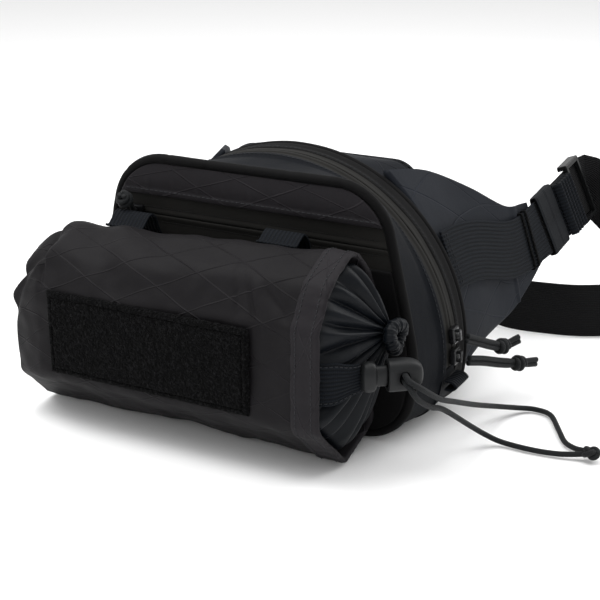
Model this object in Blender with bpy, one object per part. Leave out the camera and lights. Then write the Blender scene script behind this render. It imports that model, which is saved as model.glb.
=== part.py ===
"""Waist pack with a bottle sleeve on its front, a stuff sack in the sleeve and a buckled belt.

Frame: +X to the wearer's left as seen from the front, +Y towards the wearer, +Z up.
The origin is on the flat base, under the middle of the rear half of the body.
All lengths are in metres.
"""

import math

import bmesh
import bpy
import numpy as np
from mathutils import Matrix, Vector

# ---------------------------------------------------------------- driving dimensions
GAP = 0.0003                 # clearance between pieces that touch
WALL = 0.002                 # laminated body fabric with its lining

ZIP_Y = -0.012               # plane in which the two halves of the body meet
ZIP_RADIUS = 0.112           # main zip arc
ZIP_CENTRE_Z = 0.040         # centre of that arc
BASE_CORNER = 0.028          # radius between the base and the sides
ZIP_END_DEG = -1.5           # where the zip stops on each side, from the horizontal

TAPE_WIDTH = 0.0075          # main zip tape, each half
TAPE_EDGE = 0.0085           # where the gussets may leave the zip's outline
FRONT_DEPTH = 0.038          # front gusset, zip plane to front piping
REAR_DEPTH = 0.0195          # rear gusset, zip plane to rear piping
PIPING = 0.006               # piping diameter at the front edge
REAR_PIPING = 0.005
BACK_Y = 0.038               # back panel, inner face
PANEL_Y = ZIP_Y - 0.0435     # front panel, outer face
PANEL_THICK = 0.0016

POCKET_ZIP_Z = 0.1165        # front pocket coil
POCKET_TAPE = 0.0125         # width of each tape
POCKET_TRAVEL = 0.150

WEBBING = 0.038              # belt webbing width
WEB_THICK = 0.0016
SLEEVE_LEFT = -0.132
SLEEVE_RIGHT = 0.084
SLEEVE_FRONT = -0.1262        # the sleeve's flat front
SLEEVE_WALL = 0.0014
CORD = 0.0032                # shock cord diameter
BELT_Y = 0.146               # straight stretch of the belt behind the pack
BUCKLE_Z = 0.0252
BUCKLE_TALL = 0.049

LOCK_CENTRE = Vector((0.1150, -0.0895, 0.0606))
LOCK_HOLE = Vector((0.640, -0.768, 0.0)).normalized()      # the way the cords pass
LOCK_PUSH = Vector((0.768, 0.640, 0.0)).normalized()       # the way the button is pressed
GATHER = np.array((0.1010, -0.0780, 0.0765))               # where the sack's mouth closes


# ---------------------------------------------------------------- materials
def material(name, colour, roughness, metallic=0.0):
    """Return a Principled material, made once."""
    made = bpy.data.materials.get(name)
    if made is None:
        made = bpy.data.materials.new(name)
        made.use_nodes = True
        shader = made.node_tree.nodes["Principled BSDF"]
        shader.inputs["Base Color"].default_value = (*colour, 1.0)
        shader.inputs["Roughness"].default_value = roughness
        shader.inputs["Metallic"].default_value = metallic
        made.diffuse_color = (*colour, 1.0)
    return made


def ripstop():
    return material("ripstop", (0.026, 0.024, 0.025), 0.6)


def gusset_cloth():
    return material("gusset_cloth", (0.012, 0.014, 0.018), 0.65)


def zip_tape():
    return material("zip_tape", (0.030, 0.028, 0.026), 0.7)


def coil_plastic():
    return material("coil_plastic", (0.010, 0.010, 0.011), 0.45)


def webbing_cloth():
    return material("webbing", (0.010, 0.012, 0.015), 0.75)


def hook_and_loop():
    return material("hook_and_loop", (0.004, 0.004, 0.005), 0.95)


def sack_satin():
    return material("sack_satin", (0.016, 0.021, 0.032), 0.4)


def black_plastic():
    return material("black_plastic", (0.012, 0.013, 0.014), 0.35)


def slider_metal():
    return material("slider_metal", (0.020, 0.021, 0.024), 0.3, 0.8)


def shock_cord():
    return material("shock_cord", (0.014, 0.016, 0.017), 0.8)


def foam():
    return material("foam", (0.035, 0.035, 0.037), 0.9)


def spacer_mesh():
    return material("spacer_mesh", (0.014, 0.014, 0.015), 0.85)


# ---------------------------------------------------------------- outlines
def arc(centre, radius, start_deg, end_deg, count):
    """Points along a circular arc."""
    angles = np.radians(np.linspace(start_deg, end_deg, count))
    return np.column_stack((centre[0] + radius * np.cos(angles), centre[1] + radius * np.sin(angles)))


def rounded_outline(corners, per_corner=12):
    """Closed counter-clockwise outline through corners of (u, v, radius), each one filleted."""
    outline = []
    for index, (u, v, radius) in enumerate(corners):
        corner = np.array((u, v))
        before = np.array(corners[index - 1][:2]) - corner
        after = np.array(corners[(index + 1) % len(corners)][:2]) - corner
        before /= np.linalg.norm(before)
        after /= np.linalg.norm(after)
        half = 0.5 * math.acos(np.clip(before @ after, -1.0, 1.0))
        bisector = (before + after) / np.linalg.norm(before + after)
        centre = corner + bisector * radius / math.sin(half)
        start = corner + before * radius / math.tan(half) - centre
        end = corner + after * radius / math.tan(half) - centre
        first = math.degrees(math.atan2(start[1], start[0]))
        last = math.degrees(math.atan2(end[1], end[0]))
        sweep = (last - first + 180.0) % 360.0 - 180.0
        outline.extend(arc(centre, radius, first, first + sweep, per_corner))
    return np.array(outline)


def mirrored_outline(right_half):
    """Closed outline from the right half's corners, listed from the bottom up."""
    left_half = [(-u, v, radius) for u, v, radius in reversed(right_half)]
    return rounded_outline(right_half + left_half)


def dome_outline(radius, centre_z=ZIP_CENTRE_Z, corner=BASE_CORNER):
    """Flat base, rounded lower corners and one large arc over the top."""
    corner_x = math.sqrt((radius - corner) ** 2 - (centre_z - corner) ** 2)
    meet = math.degrees(math.atan2(corner - centre_z, corner_x))
    right = arc((corner_x, corner), corner, -90.0, meet, 10)
    top = arc((0.0, centre_z), radius, meet, 180.0 - meet, 60)
    left = arc((-corner_x, corner), corner, 180.0 - meet, 270.0, 10)
    return np.vstack((right, top[1:-1], left))


def resample(outline, count=60):
    """Even points along a closed outline, starting where it crosses x = 0 at the base."""
    start = int(np.argmin(np.where(outline[:, 0] > 0.0, outline[:, 1] + 1e-3 * outline[:, 0], 9.0)))
    closed = np.vstack((np.roll(outline, -start, axis=0), outline[start]))
    steps = np.linalg.norm(np.diff(closed, axis=0), axis=1)
    along = np.concatenate(([0.0], np.cumsum(steps)))
    wanted = np.linspace(0.0, along[-1], count, endpoint=False)
    return np.column_stack([np.interp(wanted, along, closed[:, axis]) for axis in (0, 1)])


def offset(outline, distance):
    """Move each point of a closed counter-clockwise outline outwards by distance."""
    tangent = np.roll(outline, -1, axis=0) - np.roll(outline, 1, axis=0)
    normal = np.column_stack((tangent[:, 1], -tangent[:, 0]))
    normal /= np.linalg.norm(normal, axis=1)[:, None]
    return outline + normal * distance


def in_xz(outline, y):
    return np.column_stack((outline[:, 0], np.full(len(outline), y), outline[:, 1]))


def in_yz(outline, x):
    return np.column_stack((np.full(len(outline), x), outline[:, 0], outline[:, 1]))


def clip_band(outline, low, high):
    """Part of a convex outline between two heights."""
    for level, keep_above in ((low, True), (high, False)):
        kept = []
        for index, point in enumerate(outline):
            previous = outline[index - 1]
            inside = (point[1] >= level) == keep_above
            was_inside = (previous[1] >= level) == keep_above
            if inside != was_inside:
                share = (level - previous[1]) / (point[1] - previous[1])
                kept.append(previous + share * (point - previous))
            if inside:
                kept.append(point)
        outline = np.array(kept)
    return outline


def smooth(points, count):
    """Even points along a Catmull-Rom curve through the given points."""
    points = np.array(points, dtype=float)
    padded = np.vstack((2 * points[0] - points[1], points, 2 * points[-1] - points[-2]))
    dense = []
    for index in range(len(points) - 1):
        p0, p1, p2, p3 = padded[index:index + 4]
        for t in np.linspace(0.0, 1.0, 24, endpoint=False):
            dense.append(0.5 * (2 * p1 + (p2 - p0) * t + (2 * p0 - 5 * p1 + 4 * p2 - p3) * t ** 2
                                + (3 * p1 - p0 - 3 * p2 + p3) * t ** 3))
    dense = np.array(dense + [points[-1]])
    along = np.concatenate(([0.0], np.cumsum(np.linalg.norm(np.diff(dense, axis=0), axis=1))))
    wanted = np.linspace(0.0, along[-1], count)
    return np.column_stack([np.interp(wanted, along, dense[:, axis]) for axis in range(points.shape[1])])


def thinned(path, bend_deg=9.0, reach=0.008):
    """Indices of a dense path's points that keep its bends, at most reach apart."""
    tangents = frames_along(path)
    kept = [0]
    for index in range(1, len(path) - 1):
        turned = tangents[index] @ tangents[kept[-1]] < math.cos(math.radians(bend_deg))
        far = np.linalg.norm(path[index] - path[kept[-1]]) > reach
        if turned or far:
            kept.append(index)
    return kept + [len(path) - 1]


# ---------------------------------------------------------------- solids
def place(name, mesh_data, surface, rounded=True):
    """Finish a bmesh as a named object."""
    bmesh.ops.recalc_face_normals(mesh_data, faces=mesh_data.faces)
    mesh = bpy.data.meshes.new(name)
    mesh_data.to_mesh(mesh)
    mesh_data.free()
    mesh.materials.append(surface)
    if rounded:
        mesh.shade_smooth()
        mesh.set_sharp_from_angle(angle=math.radians(35))
    made = bpy.data.objects.new(name, mesh)
    bpy.context.collection.objects.link(made)
    return made


def loft(name, loops, surface, ring=False):
    """Closed solid through loops of equal length; a ring joins the last loop to the first."""
    mesh_data = bmesh.new()
    rows = [[mesh_data.verts.new(point) for point in loop] for loop in loops]
    pairs = list(zip(rows, rows[1:]))
    if ring:
        pairs.append((rows[-1], rows[0]))
    for low, high in pairs:
        for index in range(len(low)):
            after = (index + 1) % len(low)
            mesh_data.faces.new((low[index], low[after], high[after], high[index]))
    if not ring:
        mesh_data.faces.new(reversed(rows[0]))
        mesh_data.faces.new(rows[-1])
    return place(name, mesh_data, surface)


def plate(name, outline, y_front, y_back, surface):
    """Flat sheet in the XZ plane."""
    return loft(name, [in_xz(outline, y_front), in_xz(outline, y_back)], surface)


def frames_along(path):
    """Tangents of a polyline."""
    tangents = np.gradient(path, axis=0)
    return tangents / np.linalg.norm(tangents, axis=1)[:, None]


def ribbon(name, path, ups, width, thickness, surface):
    """Webbing: a rectangle swept along path, its width along ups."""
    tangents = frames_along(path)
    loops = []
    for centre, up, tangent in zip(path, ups, tangents):
        up = up - tangent * (up @ tangent)
        up = up / np.linalg.norm(up)
        side = np.cross(tangent, up)
        half_up = up * width / 2
        half_side = side * thickness / 2
        loops.append((centre - half_up - half_side, centre + half_up - half_side,
                      centre + half_up + half_side, centre - half_up + half_side))
    return loft(name, loops, surface)


def rod(name, path, radii, surface, sides=10, closed=False):
    """Round solid swept along path with a radius at each point."""
    if closed:
        tangents = np.roll(path, -1, axis=0) - np.roll(path, 1, axis=0)
        tangents = tangents / np.linalg.norm(tangents, axis=1)[:, None]
    else:
        tangents = frames_along(path)
    reference = np.array((0.0, 1.0, 0.0)) if closed else np.array((0.13, 0.21, 0.97))
    turns = np.radians(np.linspace(0.0, 360.0, sides, endpoint=False))
    loops = []
    for centre, tangent, radius in zip(path, tangents, radii):
        first = reference - tangent * (reference @ tangent)
        first = first / np.linalg.norm(first)
        second = np.cross(tangent, first)
        loops.append([centre + radius * (math.cos(a) * first + math.sin(a) * second) for a in turns])
    return loft(name, loops, surface, ring=closed)


def box(name, centre, size, surface, turn=None, bevel=0.0):
    """Rectangular block, optionally turned, with its edges rounded."""
    mesh_data = bmesh.new()
    bmesh.ops.create_cube(mesh_data, size=1.0, matrix=Matrix.Diagonal((*size, 1.0)))
    if bevel:
        bmesh.ops.bevel(mesh_data, geom=mesh_data.edges[:], offset=bevel, segments=2, profile=0.5,
                        affect="EDGES", clamp_overlap=True)
    matrix = Matrix.Translation(centre)
    if turn is not None:
        matrix = matrix @ turn.to_4x4()
    bmesh.ops.transform(mesh_data, matrix=matrix, verts=mesh_data.verts)
    return place(name, mesh_data, surface)


def cut(target, cutter):
    """Take the cutter out of the target and hide it."""
    cutter.hide_render = True
    cutter.display_type = "WIRE"
    modifier = target.modifiers.new(cutter.name, "BOOLEAN")
    modifier.operation = "DIFFERENCE"
    modifier.object = cutter
    return target


def axes_matrix(x_axis, y_axis, z_axis):
    """Rotation whose columns are the three given axes."""
    return Matrix((x_axis, y_axis, z_axis)).transposed()


def on_side(points, side):
    """Mirror points in x for the wearer's right-hand side."""
    return np.array(points, dtype=float) * np.array((side, 1.0, 1.0))


SIDES = (("right", 1.0), ("left", -1.0))


# ---------------------------------------------------------------- body outlines
def front_outline():
    """Edge of the front panel: the centre line of its piping."""
    return resample(mirrored_outline([(0.101, PIPING / 2 + 0.0002, 0.030), (0.108, 0.050, 0.090),
                                      (0.084, 0.1505, 0.034)]))


def back_outline():
    """Edge of the back panel."""
    return resample(mirrored_outline([(0.086, 0.004, 0.030), (0.090, 0.048, 0.080),
                                      (0.0625, 0.1425, 0.020)]))


def zip_outline(extra=0.0):
    return resample(dome_outline(ZIP_RADIUS + extra))


# ---------------------------------------------------------------- front half of the body
def front_gusset():
    edge = offset(front_outline(), 0.0015)
    shares = (0.0, 0.0, 0.4, 0.72, 1.0)
    outer = [zip_outline() + (edge - zip_outline()) * share for share in shares]
    depths = [ZIP_Y - reach for reach in (GAP, TAPE_EDGE, 0.018, 0.028, FRONT_DEPTH)]
    loops = [in_xz(outline, y) for outline, y in zip(outer, depths)]
    loops += [in_xz(offset(outline, -WALL), y) for outline, y in reversed(list(zip(outer, depths)))]
    loft("front_gusset", loops, gusset_cloth(), ring=True)


def front_piping():
    path = in_xz(front_outline(), ZIP_Y - FRONT_DEPTH - GAP - PIPING / 2)
    rod("front_piping", path, np.full(len(path), PIPING / 2), ripstop(), sides=8, closed=True)


def front_panels():
    """Panel above the pocket zip, panel below it, and the two tapes between them."""
    edge = offset(front_outline(), -PIPING / 2 - GAP)
    back = PANEL_Y + PANEL_THICK
    tape_top = POCKET_ZIP_Z + GAP + POCKET_TAPE
    tape_low = POCKET_ZIP_Z - GAP - POCKET_TAPE
    plate("front_panel_upper", clip_band(edge, tape_top + GAP, 1.0), PANEL_Y, back, ripstop())
    plate("front_panel_lower", clip_band(edge, 0.0, tape_low - GAP), PANEL_Y, back, hook_and_loop())
    upper = clip_band(edge, POCKET_ZIP_Z + GAP, tape_top)
    lower = clip_band(edge, tape_low, POCKET_ZIP_Z - GAP)
    plate("pocket_tape_upper", upper, PANEL_Y + GAP, back, zip_tape())
    plate("pocket_tape_lower", lower, PANEL_Y + GAP, back, zip_tape())


def pocket_coil():
    """Closed coil behind the tapes' meeting edges."""
    width = POCKET_TRAVEL + 0.012
    box("pocket_coil", (0.0, PANEL_Y + PANEL_THICK + GAP + 0.0009, POCKET_ZIP_Z),
        (width, 0.0018, 0.0042), coil_plastic(), bevel=0.0006)


def pocket_lining():
    """Shallow bag behind the front panel, open towards the panel."""
    outline = resample(mirrored_outline([(0.080, 0.030, 0.012), (0.072, 0.132, 0.020)]), 40)
    inner = offset(outline, -0.0012)
    front = PANEL_Y + PANEL_THICK + 2 * GAP + 0.0019
    back = front + 0.0095
    loops = [in_xz(inner, back - 0.0012), in_xz(inner, front), in_xz(outline, front), in_xz(outline, back)]
    loft("pocket_lining", loops, gusset_cloth())


def main_zip_half(which, side):
    """Tape on the outside of the gusset's edge, and its half of the coil inside."""
    near = ZIP_Y + side * 0.0004
    arcs = []
    for radius in (ZIP_RADIUS + GAP, ZIP_RADIUS + GAP + 0.0009):
        arcs.append(arc((0.0, ZIP_CENTRE_Z), radius, ZIP_END_DEG, 180.0 - ZIP_END_DEG, 45))
    outline = np.vstack((arcs[1], arcs[0][::-1]))
    loft("main_zip_tape_" + which, [in_xz(outline, near), in_xz(outline, near + side * TAPE_WIDTH)], zip_tape())
    arcs = []
    for radius in (ZIP_RADIUS - WALL - 0.0028, ZIP_RADIUS - WALL - 0.0006):
        arcs.append(arc((0.0, ZIP_CENTRE_Z), radius, ZIP_END_DEG, 180.0 - ZIP_END_DEG, 45))
    outline = np.vstack((arcs[1], arcs[0][::-1]))
    loft("main_zip_coil_" + which, [in_xz(outline, near), in_xz(outline, near + side * 0.0022)],
         coil_plastic())


# ---------------------------------------------------------------- rear half of the body
def rear_gusset():
    outer = [zip_outline(), zip_outline(), zip_outline(0.0015)]
    depths = [ZIP_Y + GAP, ZIP_Y + TAPE_EDGE, ZIP_Y + REAR_DEPTH]
    loops = [in_xz(outline, y) for outline, y in zip(outer, depths)]
    loops += [in_xz(offset(outline, -WALL), y) for outline, y in reversed(list(zip(outer, depths)))]
    loft("rear_gusset", loops, ripstop(), ring=True)


def rear_piping():
    radius = REAR_PIPING / 2
    outline = offset(zip_outline(0.0015), -radius + 0.0008)
    outline[:, 1] = np.maximum(outline[:, 1], radius + 0.0002)
    path = in_xz(outline, ZIP_Y + REAR_DEPTH + GAP + radius)
    rod("rear_piping", path, np.full(len(path), radius), ripstop(), sides=8, closed=True)


YOKE_Y = ZIP_Y + REAR_DEPTH + 2 * GAP + REAR_PIPING


def yoke():
    """Rear shell behind the piping; its sides are set in under the wings."""
    first = resample(dome_outline(ZIP_RADIUS)) * np.array((0.85, 1.0))
    first[:, 1] = np.maximum(first[:, 1], 0.002)
    outer = [first, first + (back_outline() - first) * 0.55, back_outline()]
    depths = [YOKE_Y, YOKE_Y + 0.55 * (BACK_Y - YOKE_Y), BACK_Y]
    loops = [in_xz(outline, y) for outline, y in zip(outer, depths)]
    loops += [in_xz(offset(outline, -WALL), y) for outline, y in reversed(list(zip(outer, depths)))]
    loft("rear_yoke", loops, ripstop(), ring=True)


def back_layers():
    """Back board, foam and the spacer mesh that meets the wearer."""
    edge = back_outline()
    layers = (("back_panel", 0.0, 0.0018, gusset_cloth()), ("back_foam", 0.0022, 0.006, foam()),
              ("back_mesh", 0.0026, 0.0022, spacer_mesh()))
    y = BACK_Y + GAP
    for name, inset, thickness, surface in layers:
        plate(name, offset(edge, -inset), y, y + thickness, surface)
        y += thickness + GAP


WING_TOP = [(0.066, YOKE_Y, 0.1305), (0.077, 0.046, 0.1305), (0.092, 0.070, 0.1180),
            (0.104, 0.097, 0.1055), (0.1085, 0.128, 0.1010)]
WING_LOW = [(0.107, YOKE_Y, 0.0180), (0.113, 0.042, 0.0325), (0.117, 0.085, 0.0390),
            (0.120, 0.112, 0.0510), (0.1225, 0.130, 0.0630)]
WING_STEPS = 11
WING_THICK = 0.009
WING_BULGE = 0.0165


def wing_sections(depth, count=11):
    """Loops of points from the wing's top edge to its lower edge, set in by depth."""
    tops = smooth(WING_TOP, WING_STEPS)
    lows = smooth(WING_LOW, WING_STEPS)
    sections = []
    for step, (top, low) in enumerate(zip(tops, lows)):
        along = step / (WING_STEPS - 1)
        chord = (low - top) / np.linalg.norm(low - top)
        outward = np.cross(chord, np.array((0.0, 1.0, 0.0)))
        outward = outward / np.linalg.norm(outward)
        shares = np.linspace(0.0, 1.0, count)
        hump = 4 * shares * (1 - shares)
        rise = hump * WING_BULGE * (1.0 - along) ** 2 - depth * (1.0 - 0.4 * along) * (0.3 + 0.7 * hump ** 0.4)
        sections.append(top + np.outer(shares, low - top) + np.outer(rise, outward))
    return np.array(sections)


def wing(which, side):
    """Padded side wing from the rear piping to its tip."""
    outer = wing_sections(0.0)
    inner = wing_sections(WING_THICK)
    loops = [on_side(np.vstack((front, back[::-1])), side) for front, back in zip(outer, inner)]
    loft("wing_" + which, loops, gusset_cloth())


def on_section(section, share):
    """Point part of the way down a wing section."""
    shares = np.linspace(0.0, 1.0, len(section))
    return np.array([np.interp(share, shares, section[:, axis]) for axis in range(3)])


def wing_webbing_path():
    """Centre line and width direction of the webbing sewn on a wing, at the right-hand side."""
    path = []
    ups = []
    for step, section in enumerate(wing_sections(0.0, 21)):
        along = step / (WING_STEPS - 1)
        middle = 0.40 + 0.10 * along
        up = on_section(section, middle - 0.2) - on_section(section, middle + 0.2)
        up = up / np.linalg.norm(up)
        outward = np.cross((0.0, 1.0, 0.0), up)
        outward = outward / np.linalg.norm(outward)
        path.append(on_section(section, middle) + outward * (0.0030 - 0.0014 * along))
        ups.append(up)
    return np.array(path), np.array(ups)


def wing_webbing(which, side):
    """Webbing sewn at the rear piping and along the wing."""
    path, ups = wing_webbing_path()
    path[0] += (0.0, 0.0016, 0.0)
    run = belt_frame(which, 1.0)[0]
    path = np.vstack((path[:-1], TIP[which] - run * 0.004, TIP[which] - run * GAP))
    ups = np.vstack((ups[:-1], LEAN[which], LEAN[which]))
    ribbon("wing_webbing_" + which, on_side(path, side), on_side(ups, side), WEBBING, WEB_THICK,
           webbing_cloth())


# ---------------------------------------------------------------- belt
TIP = {"right": (0.1186, 0.1345, 0.0830), "left": (0.1186, 0.1345, 0.0790)}
GLIDE = {"right": (0.1213, 0.202, 0.0930), "left": (0.1195, 0.200, 0.0620)}
LEAN = {"right": (-0.37, 0.0, 0.93), "left": (-0.30, 0.0, 0.95)}
STRAP_BEYOND = {
    "right": [(0.131, 0.2245, 0.0885), (0.150, 0.2290, 0.0700), (0.171, 0.2260, 0.0480),
              (0.184, 0.2120, 0.0300), (0.181, 0.1920, 0.0210), (0.163, 0.1740, 0.0194),
              (0.142, 0.1600, 0.0193), (0.120, 0.1535, 0.0194), (0.096, 0.1500, 0.0200),
              (0.076, 0.1491, 0.0238)],
    "left": [(0.1290, 0.2220, 0.0530), (0.1470, 0.2270, 0.0400), (0.1660, 0.2190, 0.0270),
             (0.1760, 0.2000, 0.0210), (0.1770, 0.1790, 0.0196), (0.1700, 0.1600, 0.0200),
             (0.1580, 0.1490, 0.0228)],
}
BAR_LOOP = [(0.0165, 0.0030), (0.0065, 0.0031), (0.0000, 0.0027), (-0.0026, 0.0), (0.0000, -0.0027),
            (0.0065, -0.0031), (0.0165, -0.0028)]
SLEEVE_RUN = (0.001, 0.027)
ROLL_RUN = (0.028, 0.052)


def belt_frame(which, side):
    """Directions along the belt past the tip, outwards and across its width."""
    along = np.array(GLIDE[which]) - np.array(TIP[which])
    along = along / np.linalg.norm(along)
    up = np.array(LEAN[which])
    up = up - along * (up @ along)
    up = up / np.linalg.norm(up)
    outward = np.cross(along, up)
    return [on_side(vector, side) for vector in (along, outward, up)]


def belt_block(name, which, side, run, out, tall, surface, bevel=0.0):
    """Block on the belt's straight stretch: run, out and tall are (low, high) in the belt's frame."""
    frame = belt_frame(which, side)
    middle = [(low + high) / 2 for low, high in (run, out, tall)]
    centre = on_side(TIP[which], side) + sum(axis * value for axis, value in zip(frame, middle))
    size = [high - low for low, high in (run, out, tall)]
    turn = axes_matrix(*[Vector(axis) for axis in frame])
    return box(name, centre, size, surface, turn, bevel)


def elastic_sleeve(which, side):
    """Elastic tube round the webbing just past the wing."""
    frame = belt_frame(which, side)
    start = on_side(TIP[which], side)
    loops = []
    for run, grow in ((0, 0.0013), (1, 0.0013), (1, 0.0), (0, 0.0)):
        half_tall = WEBBING / 2 + GAP + grow
        half_out = WEB_THICK / 2 + GAP + grow
        corners = ((-half_out, -half_tall), (half_out, -half_tall), (half_out, half_tall),
                   (-half_out, half_tall))
        loops.append([start + frame[0] * SLEEVE_RUN[run] + frame[1] * out + frame[2] * tall
                      for out, tall in corners])
    loft("elastic_sleeve_" + which, loops, webbing_cloth(), ring=True)


def strap_roll(which, side):
    """Loose end of the belt, folded into ridges and tucked outside the webbing."""
    frame = belt_frame(which, side)
    folds = 5
    count = folds * 6
    outer = []
    for step in range(count + 1):
        share = step / count
        rise = abs(math.sin(math.pi * folds * share))
        outer.append((ROLL_RUN[0] + share * (ROLL_RUN[1] - ROLL_RUN[0]), 0.0070 + 0.0022 * rise))
    base = WEB_THICK / 2 + GAP
    profile = [(ROLL_RUN[0], base)] + outer + [(ROLL_RUN[1], base)]
    start = on_side(TIP[which], side)
    loops = []
    for tall, shrink in ((-0.0195, 0.93), (-0.012, 1.0), (0.012, 1.0), (0.0195, 0.93)):
        loops.append([start + frame[0] * run + frame[1] * (base + (out - base) * shrink) + frame[2] * tall
                      for run, out in profile])
    loft("strap_roll_" + which, loops, webbing_cloth())


def tri_glide(which, side):
    """Frame whose end bars pass outside the webbing and whose centre bar passes inside it."""
    middle = float(np.linalg.norm(np.array(GLIDE[which]) - np.array(TIP[which])))
    glide = belt_block("tri_glide_" + which, which, side, (middle - 0.0115, middle + 0.0115),
                       (-0.0036, 0.0040), (-0.0226, 0.0226), black_plastic(), 0.0007)
    slot = (-0.0194, 0.0194)
    cuts = {"channel": ((-0.013, 0.013), (-0.0012, 0.0012)),
            "outer": ((-0.0085, 0.0085), (0.0010, 0.0060)),
            "inner_near": ((-0.013, -0.0028), (-0.0060, -0.0010)),
            "inner_far": ((0.0028, 0.013), (-0.0060, -0.0010))}
    for part, (run, out) in cuts.items():
        run = (middle + run[0], middle + run[1])
        cut(glide, belt_block(f"glide_cut_{part}_{which}", which, side, run, out, slot, black_plastic()))


def bar_loop(bar_x, direction):
    """Webbing turned round a buckle bar, from its main strand to its stitched tail."""
    return [(bar_x + direction * (run - 0.0008), BELT_Y + out, BUCKLE_Z) for run, out in BAR_LOOP]


def belt_strap(which, side, ending):
    """Webbing from the wing's tip through the tri-glide and round to the buckle."""
    frame = belt_frame(which, side)
    start = on_side(TIP[which], side)
    straight = [start + frame[0] * run for run in (GAP, 0.02, 0.04, 0.06, 0.078, 0.084, 0.088)]
    beyond = list(on_side(STRAP_BEYOND[which], side))
    path = smooth(straight + beyond + ending, 400)
    shares = np.clip(np.linspace(-0.9, 1.6, len(path)), 0.0, 1.0)[:, None]
    lean = on_side(LEAN[which], side)
    ups = lean * (1.0 - shares) + np.array((0.0, 0.0, 1.0)) * shares
    kept = thinned(path)
    ribbon("belt_strap_" + which, path[kept], ups[kept], WEBBING, WEB_THICK, webbing_cloth())


# ---------------------------------------------------------------- buckle
def buckle_box(name, x, y, z, bevel=0.0):
    """Block given by its (low, high) in x and, about the buckle's centre, in y and z."""
    centre = ((x[0] + x[1]) / 2, BELT_Y + (y[0] + y[1]) / 2, BUCKLE_Z + (z[0] + z[1]) / 2)
    size = (x[1] - x[0], y[1] - y[0], z[1] - z[0])
    return box(name, centre, size, black_plastic(), bevel=bevel)


def buckle_female():
    """Socket half: a hollow body with side windows, and a bar for the webbing."""
    half = BUCKLE_TALL / 2
    socket = buckle_box("buckle_female", (0.001, 0.045), (-0.0055, 0.0055), (-half, half), 0.0012)
    cut(socket, buckle_box("socket_cut", (-0.002, 0.030), (-0.0038, 0.0038), (-0.0200, 0.0200)))
    cut(socket, buckle_box("window_cut", (0.012, 0.026), (-0.0038, 0.0038), (-0.030, 0.030)))
    cut(socket, buckle_box("slot_cut", (0.034, 0.040), (-0.008, 0.008), (-0.0197, 0.0197)))
    cut(socket, buckle_box("bar_cut_out", (0.038, 0.048), (0.0020, 0.008), (-0.0197, 0.0197)))
    cut(socket, buckle_box("bar_cut_in", (0.038, 0.048), (-0.008, -0.0020), (-0.0197, 0.0197)))


def buckle_male():
    """Plug half: a frame with a webbing bar and a centre tongue."""
    half = BUCKLE_TALL / 2
    plug = buckle_box("buckle_male", (-0.022, -0.001), (-0.0045, 0.0045), (-half, half), 0.0012)
    cut(plug, buckle_box("male_slot_cut", (-0.017, -0.010), (-0.008, 0.008), (-0.0197, 0.0197)))
    cut(plug, buckle_box("male_bar_out", (-0.024, -0.015), (0.0020, 0.008), (-0.0197, 0.0197)))
    cut(plug, buckle_box("male_bar_in", (-0.024, -0.015), (-0.008, -0.0020), (-0.0197, 0.0197)))
    join(plug, buckle_box("tongue", (-0.004, 0.022), (-0.0022, 0.0022), (-0.0035, 0.0035), 0.0008))


def buckle_arm(name, side):
    """Sprung arm of the plug half, with the head that shows in the window."""
    profile = [(-0.0007, 0.0135), (0.0120, 0.0145), (0.0140, 0.0192), (0.0215, 0.0190),
               (0.0270, 0.0120), (0.0262, 0.0102), (0.0200, 0.0128), (-0.0007, 0.0095)]
    loops = [[(x, BELT_Y + y, BUCKLE_Z + side * z) for x, z in profile] for y in (-0.0030, 0.0030)]
    loft(name, loops, black_plastic())


def buckle_strap():
    """Webbing stitched round the plug's bar; it lies beside the left strap and slides along it."""
    tail = bar_loop(-0.017, -1.0)
    path = smooth([(-0.110, BELT_Y + 0.0011, BUCKLE_Z), (-0.080, BELT_Y + 0.0011, BUCKLE_Z),
                   (-0.050, BELT_Y + 0.0013, BUCKLE_Z)] + tail, 200)
    path = path[thinned(path)]
    ribbon("buckle_strap", path, [np.array((0.0, 0.0, 1.0))] * len(path), WEBBING, WEB_THICK,
           webbing_cloth())


def belt_keeper():
    """Elastic band round the two layers of webbing."""
    loops = []
    for x, grow in ((-0.100, 0.0012), (-0.091, 0.0012), (-0.091, 0.0), (-0.100, 0.0)):
        low = BELT_Y - 0.0009 - WEB_THICK / 2 - GAP - grow
        high = BELT_Y + 0.0011 + WEB_THICK / 2 + GAP + grow
        tall = WEBBING / 2 + 2 * GAP + grow
        loops.append([(x, low, BUCKLE_Z - tall), (x, high, BUCKLE_Z - tall), (x, high, BUCKLE_Z + tall),
                      (x, low, BUCKLE_Z + tall)])
    loft("belt_keeper", loops, webbing_cloth(), ring=True)


# ---------------------------------------------------------------- zip sliders and pulls
def zip_place(angle_deg, radius, y=0.0):
    """A point on the main zip at an angle from the horizontal."""
    angle = math.radians(angle_deg)
    return Vector((radius * math.cos(angle), ZIP_Y + y, ZIP_CENTRE_Z + radius * math.sin(angle)))


def main_slider(name, angle_deg):
    """Slider body riding over both tapes, with the bridge that holds its pull."""
    angle = math.radians(angle_deg)
    outward = Vector((math.cos(angle), 0.0, math.sin(angle)))
    along = Vector((-math.sin(angle), 0.0, math.cos(angle)))
    turn = axes_matrix(along, Vector((0.0, 1.0, 0.0)), outward)
    base = ZIP_RADIUS + 0.0009 + 2.5 * GAP
    body = box(name, zip_place(angle_deg, base + 0.0018), (0.0095, 0.0084, 0.0036), slider_metal(), turn,
               0.0008)
    bridge = box(name + "_bridge", zip_place(angle_deg, base + 0.0042), (0.0070, 0.0030, 0.0042),
                 slider_metal(), turn, 0.0006)
    hole = box(name + "_eye", zip_place(angle_deg, base + 0.0050), (0.0040, 0.0120, 0.0022),
               slider_metal(), turn)
    join(body, bridge)
    cut(body, hole)


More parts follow.
